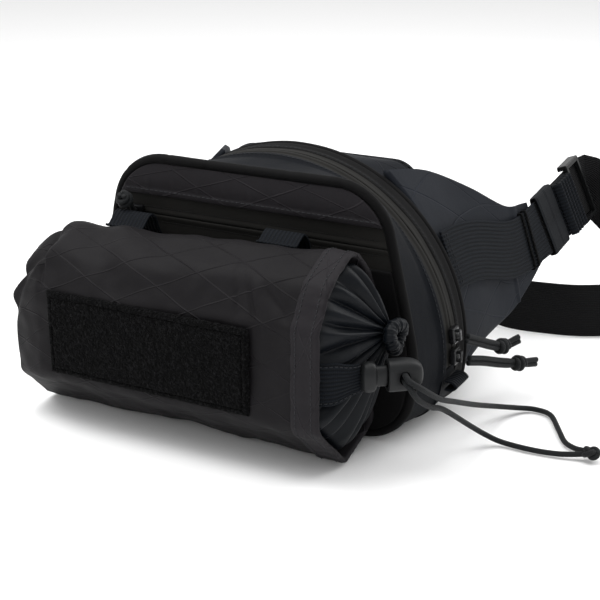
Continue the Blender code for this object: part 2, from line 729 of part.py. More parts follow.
def join(target, addition):
    """Unite a piece with the target and hide it."""
    addition.hide_render = True
    addition.display_type = "WIRE"
    modifier = target.modifiers.new(addition.name, "BOOLEAN")
    modifier.operation = "UNION"
    modifier.object = addition


PULL_LOWER = [(0.1215, -0.0050, 0.0385), (0.1260, 0.0080, 0.0345), (0.1320, 0.0240, 0.0285),
              (0.1380, 0.0400, 0.0235), (0.1450, 0.0530, 0.0210)]
PULL_UPPER = [(0.1200, -0.0055, 0.0525), (0.1245, 0.0060, 0.0470), (0.1280, 0.0180, 0.0415),
              (0.1310, 0.0290, 0.0375), (0.1375, 0.0390, 0.0400)]
PULL_POCKET = [(-0.0750, -0.0632, 0.1192), (-0.0748, -0.0662, 0.1230), (-0.0744, -0.0705, 0.1275),
               (-0.0738, -0.0745, 0.1315)]


def cord_pull(name, route, knot_share):
    """Doubled cord with an overhand knot near its cut end."""
    path = smooth(route, 20)
    radii = []
    for share in np.linspace(0.0, 1.0, len(path)):
        knot = math.exp(-((share - knot_share) / 0.085) ** 2)
        radii.append(0.0020 + 0.0026 * knot)
    rod(name, path, radii, shock_cord(), sides=8)


def zip_tab(which, side):
    """Folded webbing stop at an end of the main zip."""
    centre = on_side((ZIP_RADIUS + 0.0045, ZIP_Y + 0.001, 0.0265), side)
    box("zip_tab_" + which, centre, (0.0085, 0.020, 0.0065), webbing_cloth(), bevel=0.0012)


def pocket_slider():
    body = box("pocket_slider", (-POCKET_TRAVEL / 2, PANEL_Y - GAP - 0.0016, POCKET_ZIP_Z),
               (0.0090, 0.0032, 0.0100), slider_metal(), bevel=0.0007)
    bridge = box("pocket_bridge", (-POCKET_TRAVEL / 2, PANEL_Y - 0.0040, POCKET_ZIP_Z),
                 (0.0030, 0.0046, 0.0060), slider_metal(), bevel=0.0006)
    join(body, bridge)


# ---------------------------------------------------------------- sleeve
def sleeve_section(x):
    """Outline of the bottle sleeve in the YZ plane; it narrows towards the folded left end."""
    rear = PANEL_Y - 0.0018
    corners = [(rear, 0.0125, 0.008), (rear, 0.0980, 0.030), (-0.0840, 0.1245, 0.014),
               (-0.1130, 0.1120, 0.020), (SLEEVE_FRONT, 0.0900, 0.010), (SLEEVE_FRONT, 0.0330, 0.012),
               (-0.0930, 0.0022, 0.006)]
    outline = resample(rounded_outline(corners, 8), 48)
    share = max(0.0, (SLEEVE_RIGHT - 0.012 - x) / (SLEEVE_RIGHT - SLEEVE_LEFT))
    base = np.array((SLEEVE_FRONT, 0.0022))
    outline = base + (outline - base) * (1.0 - 0.075 * share)
    fold = max(0.0, (-0.100 - x) / 0.032)
    middle = np.array((-0.0930, 0.0022))
    return middle + (outline - middle) * np.array((1.0 - 0.20 * fold ** 1.5, 1.0 - 0.13 * fold ** 1.3))


def sleeve():
    """Fabric tube, closed and folded at the left, open at the right."""
    stations = (SLEEVE_RIGHT, 0.050, 0.0, -0.050, -0.100, -0.112, -0.123, SLEEVE_LEFT)
    inner = [in_yz(offset(sleeve_section(x), -SLEEVE_WALL), x) for x in stations[:-1]]
    inner.append(in_yz(offset(sleeve_section(stations[-1]), -SLEEVE_WALL), SLEEVE_LEFT + SLEEVE_WALL))
    outer = [in_yz(sleeve_section(x), x) for x in stations]
    loft("sleeve", inner[::-1] + outer, ripstop())


def sleeve_hem():
    """Binding folded over the open end."""
    loops = []
    for x, grow in ((SLEEVE_RIGHT - 0.018, 0.0013), (SLEEVE_RIGHT + GAP, 0.0013),
                    (SLEEVE_RIGHT + GAP, GAP), (SLEEVE_RIGHT - 0.018, GAP)):
        loops.append(in_yz(offset(sleeve_section(x), grow), x))
    loft("sleeve_hem", loops, ripstop(), ring=True)


def loop_patch():
    """Loop field sewn on the sleeve's front."""
    back = SLEEVE_FRONT - GAP
    box("loop_patch", (-0.0245, back - 0.0010, 0.0605), (0.133, 0.0020, 0.0500), hook_and_loop())


def sleeve_strap(which, x, top):
    """Webbing from under the pocket zip, arched over the gap and down the sleeve's rear."""
    front = PANEL_Y - GAP - 0.0007
    path = smooth([(x, front, 0.0780), (x, front, 0.0930), (x, front - 0.0035, 0.1025),
                   (x, -0.0660, 0.1105), (x, -0.0705, 0.1170), (x, -0.0760, top - 0.0015),
                   (x, -0.0820, top), (x, -0.0880, top)], 20)
    ribbon("sleeve_strap_" + which, path, [np.array((1.0, 0.0, 0.0))] * len(path), 0.025, 0.0012,
           webbing_cloth())


# ---------------------------------------------------------------- stuff sack
def stuff_sack():
    """Filled sack whose right end closes on its drawcord channel."""
    inset = -(SLEEVE_WALL + 0.0026)
    loops = []
    for x in (-0.118, -0.112, -0.104, -0.060, 0.0, 0.050, 0.076):
        shrink = {-0.118: -0.009, -0.112: -0.003}.get(x, 0.0)
        loops.append(in_yz(offset(sleeve_section(x), inset + shrink), x))
    rim = loops[-1]
    for share in np.linspace(0.15, 1.0, 7):
        closing = 1.0 - math.cos(share * math.pi / 2)
        reach = share ** 1.15
        target = GATHER + (rim - rim.mean(axis=0)) * 0.115
        loop = rim + (target - rim) * closing
        loop[:, 0] = rim[:, 0] + (GATHER[0] - rim[:, 0]) * reach
        loops.append(loop)
    loft("stuff_sack", loops, sack_satin())


def sack_channel():
    """Bunched drawcord channel round the closed mouth."""
    angles = np.radians(np.linspace(0.0, 360.0, 36, endpoint=False))
    radius = 0.0092
    path = np.column_stack((np.full(len(angles), GATHER[0] + 0.0052), GATHER[1] + radius * np.cos(angles),
                            GATHER[2] + radius * np.sin(angles)))
    rod_yz("sack_channel", path, 0.0042, sack_satin())


def rod_yz(name, path, radius, surface):
    """Round solid along a closed path in a YZ plane."""
    tangents = np.roll(path, -1, axis=0) - np.roll(path, 1, axis=0)
    tangents = tangents / np.linalg.norm(tangents, axis=1)[:, None]
    along = np.array((1.0, 0.0, 0.0))
    loops = []
    for centre, tangent in zip(path, tangents):
        second = np.cross(tangent, along)
        loops.append([centre + radius * (math.cos(a) * along + math.sin(a) * second)
                      for a in np.radians(np.linspace(0.0, 360.0, 8, endpoint=False))])
    loft(name, loops, surface, ring=True)


def sack_tab():
    """Webbing from inside the sleeve, over the sack's front to the cord lock."""
    front = SLEEVE_FRONT + SLEEVE_WALL + 0.0014
    path = smooth([(0.030, front, 0.0600), (0.074, front, 0.0600), (0.0850, front + 0.0050, 0.0600),
                   (0.0900, front + 0.0130, 0.0600), (0.0935, front + 0.0190, 0.0600)], 16)
    ribbon("sack_tab", path, [np.array((0.0, 0.0, 1.0))] * len(path), 0.025, 0.0012, webbing_cloth())


# ---------------------------------------------------------------- cord lock
def lock_turn():
    """Rotation with x along the push, y along the cord hole and z up."""
    return axes_matrix(LOCK_PUSH, LOCK_HOLE, LOCK_PUSH.cross(LOCK_HOLE))


def lock_box(name, push, hole, tall, bevel=0.0):
    """Block in the lock's frame, each pair given as (low, high)."""
    turn = lock_turn()
    middle = Vector([(low + high) / 2 for low, high in (push, hole, tall)])
    size = [high - low for low, high in (push, hole, tall)]
    return box(name, LOCK_CENTRE + turn @ middle, size, black_plastic(), turn, bevel)


def cord_lock():
    """Barrel with a bore for the button and a cross hole for two cords."""
    body = lock_box("cord_lock", (-0.0085, 0.0110), (-0.0065, 0.0065), (-0.0090, 0.0090), 0.0045)
    cut(body, lock_box("lock_bore", (-0.0100, 0.0085), (-0.0040, 0.0040), (-0.0064, 0.0064)))
    cut(body, lock_box("lock_cross", (-0.0024, 0.0024), (-0.0100, 0.0100), (-0.0039, 0.0039)))


def lock_button():
    """Oval button on a slotted stem."""
    cap = lock_box("lock_button", (-0.0230, -0.0147), (-0.0060, 0.0060), (-0.0085, 0.0085), 0.0040)
    join(cap, lock_box("lock_stem", (-0.0180, 0.0028), (-0.0036, 0.0036), (-0.0060, 0.0060)))
    cut(cap, lock_box("stem_slot", (-0.0084, 0.0021), (-0.0100, 0.0100), (-0.0039, 0.0039)))


def lock_spring():
    """Compression spring behind the stem."""
    turn = lock_turn()
    turns = 3
    path = []
    for step in range(turns * 12 + 1):
        angle = step / 12 * 2 * math.pi
        local = Vector((0.0034 + 0.0045 * step / (turns * 12), 0.0024 * math.cos(angle),
                        0.0024 * math.sin(angle)))
        path.append(LOCK_CENTRE + turn @ local)
    rod("lock_spring", np.array([tuple(point) for point in path]), np.full(len(path), 0.00035),
        slider_metal(), sides=6)


# ---------------------------------------------------------------- drawcord
KNOT = (0.2030, -0.0232, 0.0052)
CORD_A = [(0.1300, -0.0950, 0.0566), (0.1335, -0.0800, 0.0462), (0.1345, -0.0600, 0.0368),
          (0.1348, -0.0262, 0.0213), (0.1384, 0.0015, 0.0098), (0.1465, 0.0190, 0.0034),
          (0.1550, 0.0248, 0.0019), (0.1655, 0.0215, 0.0019), (0.1755, 0.0050, 0.0019),
          (0.1840, -0.0100, 0.0020), (0.1915, -0.0166, 0.0026), (0.1973, -0.0197, 0.0039)]
CORD_B = [(0.1278, -0.0968, 0.0512), (0.1305, -0.0850, 0.0428), (0.1313, -0.0680, 0.0345),
          (0.1383, -0.0428, 0.0155), (0.1440, -0.0330, 0.0072), (0.1525, -0.0285, 0.0025),
          (0.1700, -0.0288, 0.0019), (0.1850, -0.0272, 0.0021), (0.1962, -0.0247, 0.0034)]


def cord_strand(name, height, beyond):
    """One side of the shock cord, from behind the lock to the knot."""
    points = []
    for run in (-0.0075, 0.0, 0.0075, 0.0150):
        points.append(tuple(LOCK_CENTRE + LOCK_HOLE * run + Vector((0.0, 0.0, height))))
    route = smooth(points + beyond, 34)
    curve = bpy.data.curves.new(name, "CURVE")
    curve.dimensions = "3D"
    curve.bevel_depth = CORD / 2
    curve.bevel_resolution = 2
    curve.use_fill_caps = True
    spline = curve.splines.new("POLY")
    spline.points.add(len(route) - 1)
    for point, place_at in zip(spline.points, route):
        point.co = (*place_at, 1.0)
    curve.materials.append(shock_cord())
    made = bpy.data.objects.new(name, curve)
    bpy.context.collection.objects.link(made)


def cord_knot():
    """Overhand knot that holds both strands."""
    mesh_data = bmesh.new()
    bmesh.ops.create_uvsphere(mesh_data, u_segments=14, v_segments=8, radius=1.0)
    bmesh.ops.transform(mesh_data, matrix=Matrix.Translation(KNOT) @ Matrix.Diagonal((0.0050, 0.0050,
                                                                                     0.0049, 1.0)),
                        verts=mesh_data.verts)
    place("cord_knot", mesh_data, shock_cord())


# ---------------------------------------------------------------- build
def clear_scene():
    for item in list(bpy.data.objects):
        bpy.data.objects.remove(item)


def build_front():
    front_gusset()
    front_piping()
    front_panels()
    pocket_coil()
    pocket_lining()
    main_zip_half("front", -1)
    sleeve()
    sleeve_hem()
    loop_patch()
    sleeve_strap("left", -0.066, 0.1205)
    sleeve_strap("right", 0.036, 0.1235)


def build_rear():
    rear_gusset()
    rear_piping()
    yoke()
    back_layers()
    main_zip_half("rear", 1)
    for which, side in SIDES:
        wing(which, side)
        wing_webbing(which, side)
        zip_tab(which, side)


def build_belt():
    for which, side in SIDES:
        elastic_sleeve(which, side)
        strap_roll(which, side)
        tri_glide(which, side)
    belt_strap("right", 1.0, bar_loop(0.040, 1.0))
    belt_strap("left", -1.0, [(-x, BELT_Y - 0.0009, BUCKLE_Z) for x in (0.145, 0.120, 0.090, 0.062)])
    buckle_female()
    buckle_male()
    buckle_arm("buckle_arm_upper", 1.0)
    buckle_arm("buckle_arm_lower", -1.0)
    buckle_strap()
    belt_keeper()


def build_small_parts():
    main_slider("main_slider_lower", ZIP_END_DEG + 3.0)
    main_slider("main_slider_upper", ZIP_END_DEG + 9.5)
    cord_pull("main_pull_lower", PULL_LOWER, 0.76)
    cord_pull("main_pull_upper", PULL_UPPER, 0.74)
    pocket_slider()
    cord_pull("pocket_pull", PULL_POCKET, 0.70)


def build_sack():
    stuff_sack()
    sack_channel()
    sack_tab()
    cord_lock()
    lock_button()
    lock_spring()
    cord_strand("cord_strand_a", 0.0018, CORD_A)
    cord_strand("cord_strand_b", -0.0018, CORD_B)
    cord_knot()


clear_scene()
build_front()
build_rear()
build_belt()
build_small_parts()
build_sack()
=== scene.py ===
"""Waist pack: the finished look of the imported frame, with its fabrics, webbing, cords and fittings."""
import math

import bpy
import numpy as np
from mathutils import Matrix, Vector, noise

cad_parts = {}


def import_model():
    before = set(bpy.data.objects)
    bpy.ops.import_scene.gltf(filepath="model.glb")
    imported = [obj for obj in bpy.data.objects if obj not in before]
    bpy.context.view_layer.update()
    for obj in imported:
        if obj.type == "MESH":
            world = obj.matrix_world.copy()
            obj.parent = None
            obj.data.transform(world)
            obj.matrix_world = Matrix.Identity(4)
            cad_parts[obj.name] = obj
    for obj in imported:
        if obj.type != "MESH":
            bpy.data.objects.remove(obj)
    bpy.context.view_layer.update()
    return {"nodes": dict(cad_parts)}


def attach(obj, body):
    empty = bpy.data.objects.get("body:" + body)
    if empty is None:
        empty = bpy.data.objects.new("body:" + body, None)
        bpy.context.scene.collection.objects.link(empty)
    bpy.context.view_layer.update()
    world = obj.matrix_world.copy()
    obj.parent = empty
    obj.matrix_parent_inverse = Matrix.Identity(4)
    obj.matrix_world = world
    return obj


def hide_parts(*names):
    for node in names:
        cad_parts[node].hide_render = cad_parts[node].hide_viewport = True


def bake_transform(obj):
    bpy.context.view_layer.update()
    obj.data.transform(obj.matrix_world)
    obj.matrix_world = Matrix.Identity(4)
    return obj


# ---------------------------------------------------------------- the pack's dimensions, in metres
GAP = 0.0003
ZIP_Y = -0.012
ZIP_RADIUS = 0.112
ZIP_CENTRE_Z = 0.040
BASE_CORNER = 0.028
ZIP_END_DEG = -1.5
TAPE_WIDTH = 0.0075
FRONT_DEPTH = 0.038
REAR_DEPTH = 0.0195
PIPING = 0.006
REAR_PIPING = 0.005
BACK_Y = 0.038
PANEL_Y = ZIP_Y - 0.0435
POCKET_ZIP_Z = 0.1165
POCKET_TAPE = 0.0125
YOKE_Y = ZIP_Y + REAR_DEPTH + 2 * GAP + REAR_PIPING
WEBBING = 0.038
WEB_THICK = 0.0016
SLEEVE_LEFT = -0.132
SLEEVE_RIGHT = 0.084
SLEEVE_FRONT = -0.1262
SLEEVE_WALL = 0.0014
CORD = 0.0032
BELT_Y = 0.146
BUCKLE_Z = 0.0252
LOCK_CENTRE = np.array((0.1150, -0.0895, 0.0606))
LOCK_HOLE = np.array((0.640, -0.768, 0.0)) / math.hypot(0.640, 0.768)
LOCK_PUSH = np.array((0.768, 0.640, 0.0)) / math.hypot(0.640, 0.768)
GATHER = np.array((0.1010, -0.0780, 0.0765))
SIDES = (("right", 1.0), ("left", -1.0))


# ---------------------------------------------------------------- shader building
class Number:
    """A number socket that grows Math nodes when it is used in an expression."""

    def __init__(self, finish, socket):
        self.finish = finish
        self.socket = socket

    def math(self, operation, *others):
        node = self.finish.node("ShaderNodeMath", {"operation": operation}, [self, *others])
        return Number(self.finish, node.outputs[0])

    def __add__(self, other):
        return self.math("ADD", other)

    def __sub__(self, other):
        return self.math("SUBTRACT", other)

    def __rsub__(self, other):
        return (self * -1.0) + other

    def __mul__(self, other):
        return self.math("MULTIPLY", other)

    def __truediv__(self, other):
        return self.math("DIVIDE", other)

    def __pow__(self, other):
        return self.math("POWER", other)

    __radd__ = __add__
    __rmul__ = __mul__

    def sine(self):
        return self.math("SINE")

    def size(self):
        return self.math("ABSOLUTE")

    def part(self):
        return self.math("FRACT")

    def most(self, other):
        return self.math("MAXIMUM", other)

    def kept(self):
        """Held between 0 and 1."""
        return self.math("MINIMUM", 1.0).math("MAXIMUM", 0.0)


class Finish:
    """A material and the few calls that build it."""

    def __init__(self, name, roughness=0.7, metallic=0.0, specular=0.3, sheen=0.0, coat=0.0):
        self.material = bpy.data.materials.new(name)
        self.material.use_nodes = True
        self.tree = self.material.node_tree
        self.shader = self.tree.nodes["Principled BSDF"]
        self.shader.inputs["Roughness"].default_value = roughness
        self.shader.inputs["Metallic"].default_value = metallic
        self.shader.inputs["Specular IOR Level"].default_value = specular
        self.shader.inputs["Sheen Weight"].default_value = sheen
        self.shader.inputs["Sheen Roughness"].default_value = 0.45
        self.shader.inputs["Coat Weight"].default_value = coat
        places = self.node("ShaderNodeTexCoord")
        self.here = places.outputs["Object"]
        self.flat = places.outputs["UV"]

    def node(self, kind, settings=None, values=()):
        made = self.tree.nodes.new(kind)
        for key, value in (settings or {}).items():
            setattr(made, key, value)
        pairs = values.items() if isinstance(values, dict) else enumerate(values)
        for key, value in pairs:
            value = value.socket if isinstance(value, Number) else value
            if isinstance(value, bpy.types.NodeSocket):
                self.tree.links.new(value, made.inputs[key])
            else:
                made.inputs[key].default_value = value
        return made

    def along(self):
        """The cloth's own two directions, in millimetres."""
        parts = self.node("ShaderNodeSeparateXYZ", {}, [self.flat])
        return [Number(self, parts.outputs[axis]) * 1000.0 for axis in (0, 1)]

    def clouds(self, scale, detail=2.0, stretch=(1.0, 1.0, 1.0), flat=False):
        """Soft noise, 0 to 1; scale is in cycles per metre."""
        spread = self.node("ShaderNodeMapping", {}, {"Vector": self.flat if flat else self.here,
                                                     "Scale": stretch})
        made = self.node("ShaderNodeTexNoise", {}, {"Vector": spread.outputs[0], "Scale": scale,
                                                    "Detail": detail, "Roughness": 0.55})
        return Number(self, made.outputs[0])

    def colour(self, dark, light, mix):
        made = self.node("ShaderNodeMix", {"data_type": "RGBA"}, {0: mix, 6: (*dark, 1.0), 7: (*light, 1.0)})
        self.tree.links.new(made.outputs[2], self.shader.inputs["Base Color"])

    def relief(self, height, depth, strength=1.0):
        """Bump from a height of 0 to 1 that stands for depth metres."""
        made = self.node("ShaderNodeBump", {}, {"Strength": strength, "Distance": depth, "Height": height})
        self.tree.links.new(made.outputs[0], self.shader.inputs["Normal"])

    def rough(self, value):
        self.tree.links.new(value.socket, self.shader.inputs["Roughness"])


def dimmed(colour, share):
    return tuple(channel * share for channel in colour)


def plain_cloth(name, colour, thread=0.55, sheen=0.010, roughness=0.66, specular=0.07):
    """Fine plain weave with soft mottling."""
    finish = Finish(name, roughness, specular=specular, sheen=sheen)
    u, v = finish.along()
    weave = (u * (math.pi / thread)).sine() * (v * (math.pi / thread)).sine()
    mottle = finish.clouds(38.0, 4.0)
    grain = finish.clouds(900.0, 2.0)
    finish.colour(dimmed(colour, 0.72), dimmed(colour, 1.32), (mottle * 0.7 + grain * 0.5 - 0.1).kept())
    finish.relief(weave * 0.25 + grain * 0.6 + finish.clouds(160.0, 3.0) * 1.4, 0.00022, 0.8)
    return finish.material


def grid_cloth(name, colour, spacing=21.0, slope_deg=24.0, turned=False):
    """Laminated cloth with threads in a raised diamond grid under its face."""
    finish = Finish(name, 0.58, specular=0.09, sheen=0.012)
    u, v = finish.along()
    if turned:
        u, v = v, u
    rise = math.tan(math.radians(slope_deg))
    waver = finish.clouds(24.0, 1.0, flat=True) * 3.0
    lines = None
    for direction in (1.0, -1.0):
        offset = ((v + u * (rise * direction) + waver) / spacing).part() - 0.5
        line = (1.0 - offset.size() * 2.0 * (spacing / 1.3)).kept()
        lines = line if lines is None else lines.most(line)
    fade = (finish.clouds(30.0, 1.0) * 2.6 - 0.7).kept()
    mottle = finish.clouds(30.0, 4.0)
    grain = finish.clouds(1100.0, 2.0)
    finish.colour(dimmed(colour, 0.75), dimmed(colour, 2.1),
                  (mottle * 0.35 + grain * 0.3 - 0.08 + lines * fade * 0.42).kept())
    weave = (u * (math.pi / 0.5)).sine() * (v * (math.pi / 0.5)).sine()
    finish.relief(lines * 2.2 + weave * 0.12 + grain * 0.35 + finish.clouds(120.0, 3.0) * 1.3, 0.00022, 0.8)
    return finish.material


def satin_cloth(name, colour):
    finish = Finish(name, 0.42, specular=0.13, sheen=0.010)
    mottle = finish.clouds(60.0, 3.0)
    grain = finish.clouds(1200.0, 1.0)
    finish.colour(dimmed(colour, 0.75), dimmed(colour, 1.3), (mottle * 0.8 + grain * 0.2).kept())
    finish.relief(grain * 0.3 + finish.clouds(140.0, 3.0) * 1.6, 0.0003, 0.7)
    return finish.material


def webbing_cloth(name, colour, pitch=2.4, slant=0.9):
    """Ribs along the webbing, each a row of slanting picks."""
    finish = Finish(name, 0.66, specular=0.08, sheen=0.012)
    u, v = finish.along()
    rib = (v * (2 * math.pi / pitch)).sine() * 0.5 + 0.5
    pick = ((u + (v * (2 * math.pi / pitch)).sine() * slant * 0.3) * (2 * math.pi / 1.15)).sine() * 0.5 + 0.5
    grain = finish.clouds(1000.0, 2.0)
    finish.colour(dimmed(colour, 0.45), dimmed(colour, 1.45),
                  (rib * 0.55 + pick * rib * 0.3 + grain * 0.3 - 0.1).kept())
    finish.relief(rib * 1.1 + pick * rib * 0.8 + grain * 0.3, 0.0004, 0.8)
    return finish.material


def elastic_cloth(name, colour):
    """Close ribs across the band."""
    finish = Finish(name, 0.65, specular=0.11, sheen=0.020)
    u, v = finish.along()
    rib = (u * (2 * math.pi / 1.5)).sine() * 0.5 + 0.5
    knit = (v * (2 * math.pi / 0.9)).sine() * 0.5 + 0.5
    finish.colour(dimmed(colour, 0.5), dimmed(colour, 1.4), (rib * 0.6 + knit * 0.25).kept())
    finish.relief(rib * 1.0 + knit * 0.4, 0.0004, 0.8)
    return finish.material


def loop_pile(name, colour):
    """Dense curled loops."""
    finish = Finish(name, 0.95, specular=0.05, sheen=0.010)
    curls = finish.node("ShaderNodeTexVoronoi", {"feature": "F1"}, {"Vector": finish.here, "Scale": 850.0})
    curl = Number(finish, curls.outputs["Distance"])
    tufts = finish.clouds(420.0, 3.0)
    flecks = (finish.clouds(700.0, 2.0) * 3.4 - 1.75).kept()
    finish.colour(dimmed(colour, 0.3), dimmed(colour, 4.5), (flecks * 0.75 + tufts * 0.15).kept())
    finish.relief((1.0 - curl) * 0.8 + tufts * 1.6 + flecks * 0.5, 0.0011, 1.0)
    return finish.material


def twill_tape(name, colour):
    finish = Finish(name, 0.72, specular=0.09, sheen=0.028)
    u, v = finish.along()
    twill = ((u + v) * (2 * math.pi / 0.8)).sine() * 0.5 + 0.5
    mottle = finish.clouds(50.0, 4.0)
    finish.colour(dimmed(colour, 0.8), dimmed(colour, 1.25), (mottle * 0.8 + twill * 0.2).kept())
    finish.relief(twill * 0.25 + finish.clouds(500.0, 2.0) * 0.5, 0.0002, 0.6)
    return finish.material


def moulded_plastic(name, colour, roughness=0.42, grain_depth=0.00007):
    finish = Finish(name, roughness, specular=0.20)
    grain = finish.clouds(1500.0, 2.0)
    wear = finish.clouds(90.0, 4.0)
    finish.colour(dimmed(colour, 0.85), dimmed(colour, 1.25), wear)
    finish.rough(wear * 0.16 + (roughness - 0.08))
    finish.relief(grain, grain_depth, 0.7)
    return finish.material


def painted_metal(name, colour):
    finish = Finish(name, 0.25, metallic=0.6, specular=0.23, coat=0.3)
    wear = finish.clouds(300.0, 4.0)
    finish.colour(dimmed(colour, 0.7), dimmed(colour, 1.8), wear)
    finish.rough(wear * 0.25 + 0.18)
    finish.relief(finish.clouds(700.0, 2.0), 0.00005, 0.5)
    return finish.material


def braided_cord(name, colour):
    """Two families of strands crossing round the cord; v runs round it and u along it."""
    finish = Finish(name, 0.6, specular=0.16, sheen=0.024)
    u, v = finish.along()
    one = ((u * 0.9 + v * 1.25) * (2 * math.pi / 1.25)).sine() * 0.5 + 0.5
    other = ((u * 0.9 - v * 1.25) * (2 * math.pi / 1.25)).sine() * 0.5 + 0.5
    braid = one.most(other)
    grain = finish.clouds(1400.0, 1.0)
    finish.colour(dimmed(colour, 0.35), dimmed(colour, 1.5), (braid * 0.75 + grain * 0.3 - 0.05).kept())
    finish.relief(braid + grain * 0.2, 0.00028, 0.8)
    return finish.material


def spacer_mesh(name, colour):
    """Knitted mesh with rows of small eyes."""
    finish = Finish(name, 0.85, specular=0.07, sheen=0.024)
    u, v = finish.along()
    eyes = (u * (2 * math.pi / 3.2)).sine() * (v * (2 * math.pi / 3.2)).sine()
    eye = (eyes * 2.4 - 0.6).kept()
    finish.colour(dimmed(colour, 1.4), dimmed(colour, 0.15), eye)
    finish.relief(1.0 - eye, 0.0009, 1.0)
    return finish.material


def foam_finish(name, colour):
    finish = Finish(name, 0.9, specular=0.05)
    cells = finish.clouds(1300.0, 3.0)
    finish.colour(dimmed(colour, 0.6), dimmed(colour, 1.4), cells)
    finish.relief(cells, 0.0002, 1.0)
    return finish.material


def make_finishes():
    return {
        "laminate": grid_cloth("diamond_grid_laminate", (0.0120, 0.0108, 0.0124)),
        "rear_laminate": grid_cloth("rear_grid_laminate", (0.0057, 0.0068, 0.0093), 26.0),
        "sleeve": grid_cloth("sleeve_grid_laminate", (0.0060, 0.0054, 0.0062), turned=True),
        "wing": grid_cloth("wing_grid_laminate", (0.0086, 0.0102, 0.0139), 26.0, turned=True),
        "gusset": plain_cloth("gusset_weave", (0.0024, 0.0032, 0.0049)),
        "edge": plain_cloth("binding_weave", (0.0026, 0.0025, 0.0027)),
        "lining": plain_cloth("lining_weave", (0.0065, 0.0069, 0.0078), 0.7),
        "tape": twill_tape("zip_tape_twill", (0.0094, 0.0090, 0.0082)),
        "coil": moulded_plastic("zip_coil", (0.0050, 0.0050, 0.0056), 0.35),
        "webbing": webbing_cloth("ribbed_webbing", (0.0043, 0.0057, 0.0081)),
        "belt": webbing_cloth("smooth_belt_webbing", (0.0037, 0.0038, 0.0042), 1.3, 0.2),
        "elastic": elastic_cloth("ribbed_elastic", (0.0043, 0.0055, 0.0076)),
        "loops": loop_pile("loop_pile", (0.0030, 0.0030, 0.0032)),
        "satin": satin_cloth("sack_satin", (0.0019, 0.0029, 0.0046)),
        "plastic": moulded_plastic("matt_lock_plastic", (0.0087, 0.0093, 0.0099)),
        "gloss": moulded_plastic("glide_plastic", (0.0062, 0.0065, 0.0068), 0.24),
        "metal": painted_metal("slider_enamel", (0.0074, 0.0077, 0.0087)),
        "cord": braided_cord("braided_shock_cord", (0.0065, 0.0074, 0.0082)),
        "thread": plain_cloth("sewing_thread", (0.0354, 0.0367, 0.0396), 0.3),
        "mesh": spacer_mesh("spacer_mesh", (0.0074, 0.0081, 0.0093)),
        "foam": foam_finish("pad_foam", (0.0186, 0.0186, 0.0198)),
    }


# ---------------------------------------------------------------- outlines shared with the frame
def arc(centre, radius, start_deg, end_deg, count):
    angles = np.radians(np.linspace(start_deg, end_deg, count))
    return np.column_stack((centre[0] + radius * np.cos(angles), centre[1] + radius * np.sin(angles)))


def rounded_outline(corners, per_corner=24):
    """Closed counter-clockwise outline through corners of (u, v, radius), each one filleted."""
    outline = []
    for index, (u, v, radius) in enumerate(corners):
        corner = np.array((u, v))
        before = np.array(corners[index - 1][:2]) - corner
        after = np.array(corners[(index + 1) % len(corners)][:2]) - corner
        before /= np.linalg.norm(before)
        after /= np.linalg.norm(after)
        half = 0.5 * math.acos(np.clip(before @ after, -1.0, 1.0))
        bisector = (before + after) / np.linalg.norm(before + after)
        centre = corner + bisector * radius / math.sin(half)
        start = corner + before * radius / math.tan(half) - centre
        end = corner + after * radius / math.tan(half) - centre
        first = math.degrees(math.atan2(start[1], start[0]))
        last = math.degrees(math.atan2(end[1], end[0]))
        sweep = (last - first + 180.0) % 360.0 - 180.0
        outline.extend(arc(centre, radius, first, first + sweep, per_corner))
    return np.array(outline)


def mirrored_outline(right_half):
    left_half = [(-u, v, radius) for u, v, radius in reversed(right_half)]
    return rounded_outline(right_half + left_half)


def resample(outline, count):
    """Even points along a closed outline, starting where it crosses x = 0 at the base."""
    start = int(np.argmin(np.where(outline[:, 0] > 0.0, outline[:, 1] + 1e-3 * outline[:, 0], 9.0)))
    closed = np.vstack((np.roll(outline, -start, axis=0), outline[start]))
    steps = np.linalg.norm(np.diff(closed, axis=0), axis=1)
    along = np.concatenate(([0.0], np.cumsum(steps)))
    wanted = np.linspace(0.0, along[-1], count, endpoint=False)
    return np.column_stack([np.interp(wanted, along, closed[:, axis]) for axis in (0, 1)])


def offset(outline, distance):
    tangent = np.roll(outline, -1, axis=0) - np.roll(outline, 1, axis=0)
    normal = np.column_stack((tangent[:, 1], -tangent[:, 0]))
    normal /= np.linalg.norm(normal, axis=1)[:, None]
    return outline + normal * distance


def in_xz(outline, y):
    return np.column_stack((outline[:, 0], np.full(len(outline), y), outline[:, 1]))


def in_yz(outline, x):
    return np.column_stack((np.full(len(outline), x), outline[:, 0], outline[:, 1]))


def zip_outline(extra=0.0, count=300):
    """Flat base, rounded lower corners and one large arc over the top."""
    radius = ZIP_RADIUS + extra
    corner_x = math.sqrt((radius - BASE_CORNER) ** 2 - (ZIP_CENTRE_Z - BASE_CORNER) ** 2)
    meet = math.degrees(math.atan2(BASE_CORNER - ZIP_CENTRE_Z, corner_x))
    right = arc((corner_x, BASE_CORNER), BASE_CORNER, -90.0, meet, 30)
    top = arc((0.0, ZIP_CENTRE_Z), radius, meet, 180.0 - meet, 200)
    left = arc((-corner_x, BASE_CORNER), BASE_CORNER, 180.0 - meet, 270.0, 30)
    return resample(np.vstack((right, top[1:-1], left)), count)


def front_outline(count=300):
    return resample(mirrored_outline([(0.101, PIPING / 2 + 0.0002, 0.030), (0.108, 0.050, 0.090),
                                      (0.084, 0.1505, 0.034)]), count)


def back_outline(count=300):
    return resample(mirrored_outline([(0.086, 0.004, 0.030), (0.090, 0.048, 0.080),
                                      (0.0625, 0.1425, 0.020)]), count)


